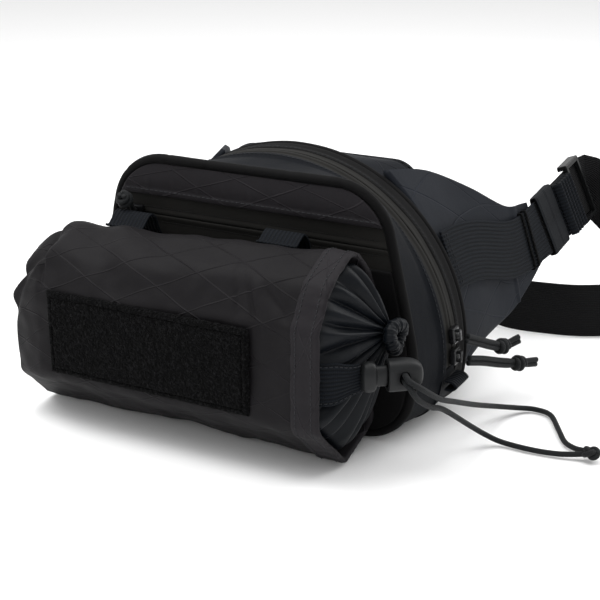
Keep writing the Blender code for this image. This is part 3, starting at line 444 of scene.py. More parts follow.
def sleeve_section(x, count=220):
    """Outline of the bottle sleeve in the YZ plane; it narrows towards the folded left end."""
    rear = PANEL_Y - 0.0018
    corners = [(rear, 0.0125, 0.008), (rear, 0.0980, 0.030), (-0.0840, 0.1245, 0.014),
               (-0.1130, 0.1120, 0.020), (SLEEVE_FRONT, 0.0900, 0.010), (SLEEVE_FRONT, 0.0330, 0.012),
               (-0.0930, 0.0022, 0.006)]
    outline = resample(rounded_outline(corners, 16), count)
    share = max(0.0, (SLEEVE_RIGHT - 0.012 - x) / (SLEEVE_RIGHT - SLEEVE_LEFT))
    base = np.array((SLEEVE_FRONT, 0.0022))
    outline = base + (outline - base) * (1.0 - 0.075 * share)
    fold = max(0.0, (-0.100 - x) / 0.032)
    middle = np.array((-0.0930, 0.0022))
    return middle + (outline - middle) * np.array((1.0 - 0.20 * fold ** 1.5, 1.0 - 0.13 * fold ** 1.3))


def smooth(points, count):
    """Even points along a Catmull-Rom curve through the given points."""
    points = np.array(points, dtype=float)
    padded = np.vstack((2 * points[0] - points[1], points, 2 * points[-1] - points[-2]))
    dense = []
    for index in range(len(points) - 1):
        p0, p1, p2, p3 = padded[index:index + 4]
        for t in np.linspace(0.0, 1.0, 24, endpoint=False):
            dense.append(0.5 * (2 * p1 + (p2 - p0) * t + (2 * p0 - 5 * p1 + 4 * p2 - p3) * t ** 2
                                + (3 * p1 - p0 - 3 * p2 + p3) * t ** 3))
    dense = np.array(dense + [points[-1]])
    along = np.concatenate(([0.0], np.cumsum(np.linalg.norm(np.diff(dense, axis=0), axis=1))))
    wanted = np.linspace(0.0, along[-1], count)
    return np.column_stack([np.interp(wanted, along, dense[:, axis]) for axis in range(points.shape[1])])


def tangents_along(path):
    tangents = np.gradient(path, axis=0)
    return tangents / np.linalg.norm(tangents, axis=1)[:, None]


def on_side(points, side):
    return np.array(points, dtype=float) * np.array((side, 1.0, 1.0))


def path_length(path):
    return float(np.sum(np.linalg.norm(np.diff(path, axis=0), axis=1)))


def ease(value, low, high):
    """0 below low, 1 above high, smooth between."""
    share = np.clip((value - low) / (high - low), 0.0, 1.0)
    return share * share * (3.0 - 2.0 * share)


def hump(value, centre, width):
    return np.exp(-((value - centre) / width) ** 2)


def rumple(points, scale, seed=0.0, stretch=(1.0, 1.0, 1.0)):
    """Smooth noise from -1 to 1 at each point; scale in cycles per metre."""
    stretched = points.reshape(-1, 3) * np.array(stretch) * scale
    values = [noise.noise(Vector((x + seed, y - seed, z + 2 * seed))) for x, y, z in stretched]
    return np.array(values).reshape(points.shape[:-1])


# ---------------------------------------------------------------- making pieces
def skin(name, grid, wrap=False, ring=False, caps=False):
    """Surface over a grid of points (rows, columns); wrap joins the last column to the first, ring
    the last row to the first. Its UV map is in metres."""
    rows, columns = grid.shape[:2]
    across = np.arange(columns if wrap else columns - 1)
    down = np.arange(rows if ring else rows - 1)
    row, column = [index.ravel() for index in np.meshgrid(down, across, indexing="ij")]
    next_row, next_column = (row + 1) % rows, (column + 1) % columns
    faces = np.column_stack((row * columns + column, row * columns + next_column,
                             next_row * columns + next_column, next_row * columns + column))
    face_list = faces.tolist()
    if caps:
        face_list.append(list(range(columns))[::-1])
        face_list.append([(rows - 1) * columns + index for index in range(columns)])
    mesh = bpy.data.meshes.new(name)
    mesh.from_pydata(grid.reshape(-1, 3).tolist(), [], face_list)
    wrapped = np.concatenate((grid, grid[:, :1]), axis=1)
    steps_u = np.linalg.norm(np.diff(wrapped, axis=1), axis=2).mean(axis=0)
    u = np.concatenate(([0.0], np.cumsum(steps_u)))
    ringed = np.concatenate((grid, grid[:1]), axis=0)
    steps_v = np.linalg.norm(np.diff(ringed, axis=0), axis=2).mean(axis=1)
    v = np.concatenate(([0.0], np.cumsum(steps_v)))
    corner_u = np.column_stack((u[column], u[column + 1], u[column + 1], u[column]))
    corner_v = np.column_stack((v[row], v[row], v[row + 1], v[row + 1]))
    flat = np.stack((corner_u, corner_v), axis=-1).reshape(-1, 2)
    spare = len(mesh.loops) - len(flat)
    flat = np.vstack((flat, np.zeros((spare, 2))))
    mesh.uv_layers.new(name="cloth").data.foreach_set("uv", flat.ravel())
    mesh.validate()
    mesh.shade_smooth()
    made = bpy.data.objects.new(name, mesh)
    bpy.context.collection.objects.link(made)
    return made


def apply_modifier(piece, kind, **settings):
    modifier = piece.modifiers.new(kind.lower(), kind)
    for key, value in settings.items():
        setattr(modifier, key, value)
    bpy.ops.object.select_all(action="DESELECT")
    piece.select_set(True)
    bpy.context.view_layer.objects.active = piece
    bpy.ops.object.modifier_apply(modifier=modifier.name)


def thicken(piece, thickness, offset_side=-1.0):
    apply_modifier(piece, "SOLIDIFY", thickness=thickness, offset=offset_side, use_even_offset=False)


def dress(piece, body, finish, slot, *nodes):
    """Give a piece its finish and its body, and say which frame nodes it stands for."""
    piece.data.materials.clear()
    piece.data.materials.append(finish)
    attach(piece, body)
    if nodes:
        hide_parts(*nodes)
    return piece


def grid_normals(grid, wrap=False):
    if wrap:
        along = np.roll(grid, -1, axis=1) - np.roll(grid, 1, axis=1)
    else:
        along = np.gradient(grid, axis=1)
    down = np.gradient(grid, axis=0)
    normals = np.cross(along, down)
    return normals / np.maximum(np.linalg.norm(normals, axis=2), 1e-12)[:, :, None]


def ribbon_grid(path, ups, width, columns):
    """Grid across a ribbon, its rows along the path."""
    tangents = tangents_along(path)
    ups = ups - tangents * np.sum(ups * tangents, axis=1)[:, None]
    ups = ups / np.linalg.norm(ups, axis=1)[:, None]
    shares = np.linspace(-0.5, 0.5, columns)
    return path[None, :, :] + ups[None, :, :] * (shares * width)[:, None, None]


def strap(name, path, ups, width, thickness, columns=9):
    """Webbing with rounded selvedges."""
    grid = ribbon_grid(path, ups, width - thickness * 0.5, columns)
    piece = skin(name, grid)
    thicken(piece, thickness, 0.0)
    apply_modifier(piece, "BEVEL", width=thickness * 0.3, segments=2, limit_method="ANGLE")
    return piece


def tube(name, path, radii, sides=16, closed=False):
    """Round cord; the map's u runs round it and v along it."""
    if closed:
        tangents = np.roll(path, -1, axis=0) - np.roll(path, 1, axis=0)
        tangents = tangents / np.linalg.norm(tangents, axis=1)[:, None]
    else:
        tangents = tangents_along(path)
    first = np.cross(tangents[0], (0.31, 0.17, 0.93))
    rows = []
    radii = np.broadcast_to(radii, (len(path),))
    turns = np.radians(np.linspace(0.0, 360.0, sides, endpoint=False))
    for centre, tangent, radius in zip(path, tangents, radii):
        first = first - tangent * (first @ tangent)
        first = first / np.linalg.norm(first)
        second = np.cross(tangent, first)
        rows.append([centre + radius * (math.cos(a) * first + math.sin(a) * second) for a in turns])
    return skin(name, np.array(rows), wrap=True, ring=closed, caps=not closed)


def stitches(name, path, outward, pitch=0.0030, length=0.0021, thick=0.00030, lift=0.0):
    """A row of thread stitches lying on a surface along path."""
    along = np.concatenate(([0.0], np.cumsum(np.linalg.norm(np.diff(path, axis=0), axis=1))))
    count = max(1, int(along[-1] / pitch))
    verts, faces = [], []
    for number in range(count):
        middle = (number + 0.5) * along[-1] / count
        ends = [middle - length / 2, middle - length / 4, middle + length / 4, middle + length / 2]
        heights = (-0.4, 0.75, 0.75, -0.4)
        base = len(verts)
        for place, height in zip(ends, heights):
            point = np.array([np.interp(place, along, path[:, axis]) for axis in range(3)])
            up = np.array([np.interp(place, along, outward[:, axis]) for axis in range(3)])
            ahead = np.array([np.interp(place + 1e-4, along, path[:, axis]) for axis in range(3)])
            behind = np.array([np.interp(place - 1e-4, along, path[:, axis]) for axis in range(3)])
            up = up / np.linalg.norm(up)
            side = np.cross(ahead - behind, up)
            side = side / max(np.linalg.norm(side), 1e-12)
            centre = point + up * (height * thick + lift)
            for a in (0.0, math.pi / 2, math.pi, 3 * math.pi / 2):
                verts.append(centre + thick * (math.cos(a) * side + math.sin(a) * up))
        for ring in range(3):
            for corner in range(4):
                after = (corner + 1) % 4
                low, high = base + ring * 4, base + ring * 4 + 4
                faces.append((low + corner, low + after, high + after, high + corner))
        faces.append((base + 3, base + 2, base + 1, base))
        faces.append((base + 12, base + 13, base + 14, base + 15))
    mesh = bpy.data.meshes.new(name)
    mesh.from_pydata([tuple(point) for point in verts], [], faces)
    mesh.uv_layers.new(name="cloth")
    mesh.shade_smooth()
    made = bpy.data.objects.new(name, mesh)
    bpy.context.collection.objects.link(made)
    return made


def joined(name, pieces):
    """One object from several."""
    bpy.ops.object.select_all(action="DESELECT")
    for piece in pieces:
        piece.select_set(True)
    bpy.context.view_layer.objects.active = pieces[0]
    bpy.ops.object.join()
    pieces[0].name = name
    pieces[0].data.name = name
    return pieces[0]


# ---------------------------------------------------------------- studio
def make_camera():
    target = Vector((-0.00713, 0.02418, 0.04536))
    azimuth, elevation, distance = math.radians(28.0), math.radians(20.0), 0.8424
    toward = Vector((math.sin(azimuth) * math.cos(elevation), -math.cos(azimuth) * math.cos(elevation),
                     math.sin(elevation)))
    camera = bpy.data.objects.new("camera", bpy.data.cameras.new("camera"))
    camera.data.lens = 77.4
    camera.data.sensor_width = 36.0
    camera.data.clip_start = 0.01
    camera.location = target + toward * distance
    camera.rotation_euler = (-toward).to_track_quat("-Z", "Y").to_euler()
    bpy.context.collection.objects.link(camera)
    bpy.context.scene.camera = camera


def soft_light(name, place, target, size, watts):
    light = bpy.data.objects.new(name, bpy.data.lights.new(name, "AREA"))
    light.data.shape = "RECTANGLE"
    light.data.size, light.data.size_y = size
    light.data.energy = watts
    light.location = place
    light.rotation_euler = (Vector(target) - Vector(place)).to_track_quat("-Z", "Y").to_euler()
    bpy.context.collection.objects.link(light)


def make_studio():
    scene = bpy.context.scene
    scene.view_settings.view_transform = "Standard"
    world = bpy.data.worlds.new("studio")
    world.use_nodes = True
    world.node_tree.nodes["Background"].inputs[0].default_value = (1.0, 1.0, 1.0, 1.0)
    world.node_tree.nodes["Background"].inputs[1].default_value = 0.80
    scene.world = world
    soft_light("key", (-0.55, -0.35, 1.15), (0.0, -0.02, 0.05), (0.9, 0.9), 11.0)
    soft_light("back_fill", (0.75, 0.75, 0.85), (0.0, 0.0, 0.05), (0.8, 0.8), 6.0)
    soft_light("overhead", (0.05, 0.0, 1.4), (0.0, 0.0, 0.0), (1.4, 1.4), 9.0)
    bpy.ops.mesh.primitive_plane_add(size=12.0, location=(0.0, 0.0, -0.0006))
    floor = bpy.context.object
    floor.name = "studio_floor"
    paper = Finish("studio_paper", 0.9, specular=0.1)
    paper.colour((0.93, 0.93, 0.93), (0.95, 0.95, 0.95), paper.clouds(3.0))
    floor.data.materials.append(paper.material)


# ---------------------------------------------------------------- cords
KNOT = np.array((0.2030, -0.0232, 0.0052))
CORD_A = [(0.1300, -0.0950, 0.0566), (0.1335, -0.0800, 0.0462), (0.1345, -0.0600, 0.0368),
          (0.1348, -0.0262, 0.0213), (0.1384, 0.0015, 0.0098), (0.1465, 0.0190, 0.0034),
          (0.1550, 0.0248, 0.0019), (0.1655, 0.0215, 0.0019), (0.1755, 0.0050, 0.0019),
          (0.1840, -0.0100, 0.0020), (0.1915, -0.0166, 0.0026), (0.1973, -0.0197, 0.0039)]
CORD_B = [(0.1278, -0.0968, 0.0512), (0.1305, -0.0850, 0.0428), (0.1313, -0.0680, 0.0345),
          (0.1383, -0.0428, 0.0155), (0.1440, -0.0330, 0.0072), (0.1525, -0.0285, 0.0025),
          (0.1700, -0.0288, 0.0019), (0.1850, -0.0272, 0.0021), (0.1962, -0.0247, 0.0034)]


def cord_route(height, beyond):
    points = [tuple(LOCK_CENTRE + LOCK_HOLE * run + np.array((0.0, 0.0, height)))
              for run in (-0.0075, 0.0, 0.0075, 0.0150)]
    return smooth(points + beyond + [tuple(KNOT)], 110)


def make_cords(finishes, heights):
    knot = make_knot(finishes)
    for name, height, beyond, node in (("cord_upper", heights[0], CORD_A, "cord_strand_a"),
                                       ("cord_lower", heights[1], CORD_B, "cord_strand_b")):
        route = cord_route(height, beyond)
        piece = dress(tube(name, route, CORD / 2), "sack", finishes["cord"], "shock_cord", node)


def make_knot(finishes):
    """Overhand knot drawn tight."""
    turns = np.linspace(0.0, 2 * math.pi, 90, endpoint=False)
    girth = 0.0026 + 0.0013 * np.cos(3 * turns)
    path = KNOT + np.column_stack((girth * np.cos(2 * turns), girth * np.sin(2 * turns),
                                   0.0016 * np.sin(3 * turns)))
    wraps = tube("cord_knot_wraps", path, 0.00165, 12, closed=True)
    return dress(wraps, "sack", finishes["cord"], "shock_cord", "cord_knot")


# ---------------------------------------------------------------- front half of the body
def fold_height(reach, heights):
    """Raised folded edge beside the zip tape, along the zip's arc only."""
    fold = 0.0017 * ease(reach, 0.0077, 0.0084) * (1.0 - ease(reach, 0.0098, 0.0150))
    return fold * ease(heights, 0.026, 0.036)


def one_run(chosen):
    """Where the single run of chosen points round a loop starts, and how many they are."""
    return int(np.argmax(np.logical_and(chosen, np.roll(~chosen, 1)))), int(chosen.sum())


def arc_part(loop, outward):
    """The part of a loop, and of its outward directions, that follows the zip's arc."""
    start, count = one_run(loop[:, 2] > 0.034)
    return [np.roll(values, -start, axis=0)[:count] for values in (loop, outward)]


def make_front_gusset(finishes):
    count = 420
    zip_edge = zip_outline(0.0, count)
    front_edge = offset(front_outline(count), 0.0012)
    reaches = np.concatenate(([GAP, 0.003, 0.0074, 0.0078, 0.0081, 0.0085, 0.0092],
                              np.linspace(0.0100, FRONT_DEPTH - 0.0002, 26)))
    shares = np.interp(reaches, (0.0, 0.0085, 0.018, 0.028, FRONT_DEPTH), (0.0, 0.0, 0.38, 0.72, 1.0))
    grid = np.array([in_xz(zip_edge + (front_edge - zip_edge) * share, ZIP_Y - reach)
                     for share, reach in zip(shares, reaches)])
    normals = grid_normals(grid, wrap=True)
    loose = ease(reaches, 0.012, 0.020) * (1.0 - 0.7 * ease(reaches, 0.030, 0.038))
    swell = 0.0010 * rumple(grid, 26.0) + 0.0006 * rumple(grid, 70.0, 4.0, (1.0, 0.35, 1.0))
    lift = fold_height(reaches[:, None], grid[:, :, 2]) + swell * loose[:, None]
    lift = np.where(grid[:, :, 2] < 0.004, np.minimum(lift, 0.0), lift)
    grid = grid + normals * lift[:, :, None]
    piece = skin("front_gusset_cloth", grid, wrap=True)
    thicken(piece, 0.0016)
    dress(piece, "front_half", finishes["gusset"], "gusset_cloth", "front_gusset")
    row = 8
    seam, up = arc_part(grid[row], normals[row])
    thread = stitches("front_gusset_seam", seam, up, 0.0031, 0.0022, 0.00026)
    dress(thread, "front_half", finishes["thread"], "gusset_cloth")


def make_front_piping(finishes):
    """Thick rolled edge with small tucks where it turns the corners."""
    path = in_xz(front_outline(420), ZIP_Y - FRONT_DEPTH - GAP - PIPING / 2)
    tucks = rumple(path, 60.0, 9.0)
    creases = np.minimum(0.0, np.sin(np.arange(420) * 2 * math.pi / 420 * 23 + tucks * 3) + 0.86)
    radii = PIPING / 2 * (1.02 + 0.07 * rumple(path, 30.0) + 0.55 * creases * ease(path[:, 2], 0.08, 0.12))
    piece = tube("front_edge_roll", path, radii, 18, closed=True)
    dress(piece, "front_half", finishes["edge"], "ripstop", "front_piping")


def half_width(outline, heights):
    right = outline[outline[:, 0] > 0]
    order = np.argsort(right[:, 1])
    return np.interp(heights, right[order, 1], right[order, 0])


def panel_grid(low, high, rows, columns, inset=0.0):
    """Points of the front panel between two heights, at y = PANEL_Y."""
    edge = offset(front_outline(), -PIPING / 2 + 0.0008 - inset)
    heights = np.linspace(low, min(high, edge[:, 1].max() - 0.0002), rows)
    width = half_width(edge, heights)
    across = np.linspace(-1.0, 1.0, columns)
    x = width[:, None] * across[None, :]
    z = np.repeat(heights[:, None], columns, axis=1)
    return np.stack((x, np.full_like(x, PANEL_Y), z), axis=-1)


def make_front_panels(finishes):
    tape_top = POCKET_ZIP_Z + GAP + POCKET_TAPE
    tape_low = POCKET_ZIP_Z - GAP - POCKET_TAPE
    upper = panel_grid(tape_top - 0.0008, 1.0, 34, 150)
    share = (upper[:, :, 2] - upper[0, 0, 2]) / (upper[-1, 0, 2] - upper[0, 0, 2])
    pull_ticks = np.maximum(0.0, np.sin(upper[:, :, 0] * 2 * math.pi / 0.0175
                                        + 1.4 * rumple(upper, 40.0) + share * 0.8) - 0.72)
    puff = 0.0012 * np.sin(math.pi * share) + 0.0006 * rumple(upper, 30.0, 2.0)
    fold = 0.0009 * (1.0 - ease(share, 0.10, 0.22))
    upper[:, :, 1] -= puff + fold + 0.0013 * pull_ticks * hump(share, 0.34, 0.24)
    piece = skin("upper_panel_cloth", upper)
    thicken(piece, 0.0014)
    dress(piece, "front_half", finishes["laminate"], "ripstop", "front_panel_upper")
    seam = upper[5][2:-2]
    outward = np.tile((0.0, -1.0, 0.0), (len(seam), 1))
    thread = stitches("upper_panel_seam", seam, outward, 0.0033, 0.0022, 0.00028)
    dress(thread, "front_half", finishes["thread"], "ripstop")
    lower = panel_grid(0.0066, tape_low + 0.0006, 60, 130)
    lower[:, :, 1] -= 0.0006 + 0.0005 * rumple(lower, 35.0, 5.0)
    piece = skin("lower_panel_cloth", lower)
    thicken(piece, 0.0014)
    dress(piece, "front_half", finishes["edge"], "hook_and_loop", "front_panel_lower")
    for name, low, high, node in (
            ("upper_pocket_tape", POCKET_ZIP_Z + 0.00025, tape_top + 0.0004, "pocket_tape_upper"),
            ("lower_pocket_tape", tape_low - 0.0004, POCKET_ZIP_Z - 0.00025, "pocket_tape_lower")):
        tape = panel_grid(low, high, 14, 120)
        near = np.abs(tape[:, :, 2] - POCKET_ZIP_Z)
        tape[:, :, 1] += 0.0005 - 0.0006 * (1.0 - ease(near, 0.0022, 0.0034)) + 0.0002 * rumple(tape, 40.0)
        piece = skin(name, tape)
        thicken(piece, 0.0009)
        dress(piece, "front_half", finishes["tape"], "zip_tape", node)
        row = int(np.argmin(np.abs(near[:, 0] - 0.0040)))
        thread = stitches(name + "_coil_thread", tape[row][4:-4], np.tile((0.0, -1.0, 0.0), (112, 1)),
                          0.0016, 0.0009, 0.00022)
        dress(thread, "front_half", finishes["coil"], "coil_plastic")


def make_pocket_inside(finishes):
    outline = resample(mirrored_outline([(0.080, 0.030, 0.012), (0.072, 0.132, 0.020)]), 160)
    front, back = PANEL_Y + 0.0041, PANEL_Y + 0.0130
    rows = [in_xz(outline, y) for y in np.linspace(front, back - 0.0015, 8)]
    centre = outline.mean(axis=0)
    rows.append(in_xz(centre + (outline - centre) * 0.985, back - 0.0004))
    for share in np.linspace(0.96, 0.02, 26):
        rows.append(in_xz(centre + (outline - centre) * share, back))
    grid = np.array(rows)
    grid[9:, :, 1] += 0.0004 * rumple(grid[9:], 45.0)
    piece = skin("pocket_bag", grid[::-1], wrap=True)
    thicken(piece, 0.0008)
    dress(piece, "front_half", finishes["lining"], "gusset_cloth", "pocket_lining")


# ---------------------------------------------------------------- main zip
def make_zip_tapes(finishes):
    angles = np.radians(np.linspace(ZIP_END_DEG, 180.0 - ZIP_END_DEG, 300))
    for name, side, body, node in (("front_zip_tape", -1.0, "front_half", "main_zip_tape_front"),
                                   ("rear_zip_tape", 1.0, "rear_shell", "main_zip_tape_rear")):
        reaches = np.linspace(0.0002, TAPE_WIDTH + 0.0012, 16)
        rise = (0.0009 + 0.0007 * (1.0 - ease(reaches, 0.0026, 0.0042))
                - 0.0004 * (1.0 - ease(reaches, 0.0, 0.0006)))
        rows = []
        for reach, height in zip(reaches, rise):
            radius = ZIP_RADIUS + height
            rows.append(np.column_stack((radius * np.cos(angles), np.full(len(angles), ZIP_Y + side * reach),
                                         ZIP_CENTRE_Z + radius * np.sin(angles))))
        grid = np.array(rows)
        wave = 0.00035 * rumple(grid, 45.0, side)
        grid = grid + grid_normals(grid) * wave[:, :, None] * -side
        piece = skin(name, grid if side < 0 else grid[::-1])
        thicken(piece, 0.0008)
        dress(piece, body, finishes["tape"], "zip_tape", node)


# ---------------------------------------------------------------- sleeve
def sleeve_grid():
    """The sleeve's cloth from its folded left end to the hem."""
    stations = np.concatenate((np.linspace(SLEEVE_LEFT, -0.1005, 34),
                               np.linspace(-0.099, SLEEVE_RIGHT - 0.001, 116)))
    rows = [in_yz(sleeve_section(x, 280), x if x > -0.1 else -0.1 + (x + 0.1) * 0.70) for x in stations]
    grid = np.array(rows)
    normals = grid_normals(grid, wrap=True)
    x, y, z = grid[:, :, 0], grid[:, :, 1], grid[:, :, 2]
    front = ease(-y, 0.085, 0.100)
    end = 1.0 - ease(x, -0.118, -0.086)
    lift = (0.0017 * rumple(grid, 17.0, 3.0) + 0.0012 * rumple(grid, 45.0, 7.0)
            + 0.0005 * rumple(grid, 110.0, 2.0))
    diagonal = (x * 0.75 + z * 0.66) / 0.030
    folds = np.sin(diagonal * 2 * math.pi + 1.7 * rumple(grid, 20.0))
    lift += 0.0014 * folds * hump(x, -0.060, 0.045) * ease(z, 0.080, 0.100)
    fold_line = (z - 0.088) - (x + 0.120) * 1.15
    lift -= 0.0040 * hump(fold_line, 0.0, 0.0050) * end * front
    lift += 0.0016 * hump(fold_line, -0.009, 0.0045) * end * front
    second = (z - 0.097) + (x + 0.102) * 2.6
    lift -= 0.0030 * hump(second, 0.0, 0.0060) * hump(x, -0.106, 0.016) * ease(z, 0.080, 0.095)
    third = (z - 0.062) - (x + 0.124) * 2.2
    lift -= 0.0016 * hump(third, 0.0, 0.0050) * end * front
    for start, slope, reach in ((0.036, -1.9, 0.0022), (0.047, -0.7, 0.0016), (0.028, -3.2, 0.0012)):
        crease = (z - 0.106) - slope * (x - start)
        lift -= reach * hump(crease, 0.0, 0.0030) * hump(x, start + 0.006, 0.011) * hump(z, 0.100, 0.014)
    sag = hump(x, -0.015, 0.022) * (1.0 - ease(z, 0.004, 0.030))
    lift -= 0.0018 * sag
    lift *= 1.0 - 0.75 * ease(x, 0.060, 0.072)
    lift = np.minimum(lift, 0.0022)
    grid = grid + normals * lift[:, :, None]
    grid[:, :, 2] = np.maximum(grid[:, :, 2], 0.0012)
    grid[:, :, 1] = np.minimum(grid[:, :, 1], PANEL_Y - 0.0012)
    return grid


def make_sleeve(finishes):
    grid = sleeve_grid()
    rim = grid[0]
    centre = rim.mean(axis=0)
    ends = []
    for share in (0.02, 0.12, 0.30, 0.50, 0.70, 0.85, 0.95, 0.985):
        loop = centre + (rim - centre) * share
        loop[:, 0] = rim[:, 0] - 0.0016 * (1.0 - share) * 4 * share - 0.0010 * np.abs(
            rumple(loop, 55.0, 2.0)) + 0.0006
        ends.append(loop)
    grid = np.concatenate((np.array(ends), grid), axis=0)
    piece = skin("bottle_sleeve", grid, wrap=True)
    thicken(piece, 0.0010)
    dress(piece, "front_half", finishes["sleeve"], "ripstop", "sleeve")
    make_hem(finishes)


def make_hem(finishes):
    """Binding folded over the mouth, held by two rows of stitches."""
    profile = [(-0.0165, 0.0007), (-0.0160, 0.0013), (-0.0110, 0.0014), (-0.0060, 0.0011), (-0.0020, 0.0014),
               (-0.0004, 0.0010), (0.0003, 0.0), (-0.0004, -0.0012), (-0.0020, -0.0019), (-0.0140, -0.0019)]
    fine = smooth([(SLEEVE_RIGHT + x, grow, 0.0) for x, grow in profile], 40)
    rows = [in_yz(offset(sleeve_section(x, 320), grow), x) for x, grow, _ in fine]
    grid = np.array(rows)
    outward = grid_normals(grid, wrap=True)
    pucker = (0.00045 * rumple(grid, 95.0, 3.0, (0.6, 1.0, 1.0))
              + 0.0004 * rumple(grid, 230.0, 5.0, (0.3, 1.0, 1.0)))
    grid = grid + outward * pucker[:, :, None]
    grid[:, :, 2] = np.maximum(grid[:, :, 2], 0.0010)
    piece = skin("sleeve_hem_binding", grid, wrap=True)
    dress(piece, "front_half", finishes["laminate"], "ripstop", "sleeve_hem")
    for number, x in enumerate((SLEEVE_RIGHT - 0.0140, SLEEVE_RIGHT - 0.0045)):
        row = int(np.argmin(np.abs(fine[:20, 0] - x)))
        loop = np.vstack((grid[row], grid[row][:1]))
        up = np.vstack((outward[row], outward[row][:1]))
        thread = stitches(f"hem_seam_{number}", loop, up, 0.0030, 0.0020, 0.00028)
        dress(thread, "front_half", finishes["thread"], "ripstop")


def make_patch(finishes):
    """Field of loop pile with a sewn border."""
    columns, rows = 200, 78
    x = np.linspace(-0.0908, 0.0418, columns)
    z = np.linspace(0.0357, 0.0853, rows)
    grid = np.zeros((rows, columns, 3))
    grid[:, :, 0] = x[None, :]
    grid[:, :, 2] = z[:, None]
    near = np.minimum(np.minimum(x - x[0], x[-1] - x)[None, :], np.minimum(z - z[0], z[-1] - z)[:, None])
    pile = 0.0022 * ease(near, -0.0006, 0.0016) - 0.0009 * hump(near, 0.0030, 0.0006)
    grid[:, :, 1] = SLEEVE_FRONT + 0.0001 - pile
    tufts = rumple(grid, 620.0, 3.0) * 0.00042 + rumple(grid, 300.0, 6.0) * 0.00030
    grid[:, :, 1] += tufts * ease(near, 0.0, 0.002)
    grid[:, :, 0] += rumple(grid, 500.0, 8.0) * 0.0005 * (near < 0.0012)
    grid[:, :, 2] += rumple(grid, 500.0, 11.0) * 0.0005 * (near < 0.0012)
    piece = skin("loop_pile_patch", grid[:, ::-1])
    thicken(piece, 0.0010)
    dress(piece, "front_half", finishes["loops"], "hook_and_loop", "loop_patch")
    inset = 0.0028
    corners = [(x[0] + inset, z[0] + inset), (x[-1] - inset, z[0] + inset), (x[-1] - inset, z[-1] - inset),
               (x[0] + inset, z[-1] - inset), (x[0] + inset, z[0] + inset)]
    border = np.array([(u, SLEEVE_FRONT - 0.0014, v) for u, v in corners])
    fine = np.vstack([np.linspace(a, b, 60)[:-1] for a, b in zip(border, border[1:])] + [border[-1:]])
    thread = stitches("patch_seam", fine, np.tile((0.0, -1.0, 0.0), (len(fine), 1)), 0.0028, 0.0018, 0.00028)
    dress(thread, "front_half", finishes["webbing"], "hook_and_loop")


def make_sleeve_straps(finishes):
    front = PANEL_Y - GAP - 0.0007
    for which, x, top in (("left", -0.066, 0.1205), ("right", 0.036, 0.1235)):
        cloth = offset(sleeve_section(x), 0.0006)
        crown = cloth[cloth[:, 1] > 0.075]
        crown = crown[np.argsort(crown[:, 0])]
        ends = [(x, y, float(np.interp(y, crown[:, 0], crown[:, 1]))) for y in (-0.0830, -0.0860)]
        path = smooth([(x, front, 0.0780), (x, front, 0.0930), (x, front - 0.0035, 0.1025),
                       (x, -0.0655, 0.1115), (x, -0.0690, 0.1195), (x, -0.0745, top + 0.0010)] + ends, 60)
        ups = np.tile((1.0, 0.0, 0.0), (len(path), 1))
        piece = strap("sleeve_webbing_" + which, path, ups, 0.025, 0.0013, 12)
        dress(piece, "front_half", finishes["webbing"], "webbing", "sleeve_strap_" + which)


# ---------------------------------------------------------------- stuff sack
# Each pleat: its place round the sack, its depth and its width.
PLEATS = [
    (0.015, 0.9, 0.017), (0.068, 1.1, 0.014), (0.118, 0.7, 0.012), (0.172, 1.2, 0.020),
    (0.236, 0.8, 0.013), (0.292, 1.1, 0.018), (0.350, 0.7, 0.012), (0.402, 1.2, 0.016),
    (0.458, 0.9, 0.013), (0.506, 1.2, 0.018), (0.560, 0.8, 0.012), (0.618, 1.2, 0.017),
    (0.672, 0.9, 0.013), (0.728, 1.2, 0.019), (0.790, 0.8, 0.013), (0.846, 1.2, 0.016),
    (0.902, 0.8, 0.012), (0.955, 1.1, 0.015),
]


def pleat_depth(around, share):
    """Sharp valleys between soft rolls; around runs 0 to 1 and share 0 to 1 towards the mouth."""
    depth = np.zeros_like(around)
    for number, (place, strength, width) in enumerate(PLEATS):
        drift = 0.020 * math.sin(number * 2.4) * (1.0 - share) ** 2
        reach = ease(share, 0.10 * (1 + math.sin(number * 1.7)), 0.75)
        away = np.abs((around - place - drift + 0.5) % 1.0 - 0.5)
        depth -= strength * reach * np.exp(-away / (width * 0.62))
        depth += 0.35 * strength * reach * np.exp(-((away - width * 1.7) / (width * 0.9)) ** 2)
    return depth


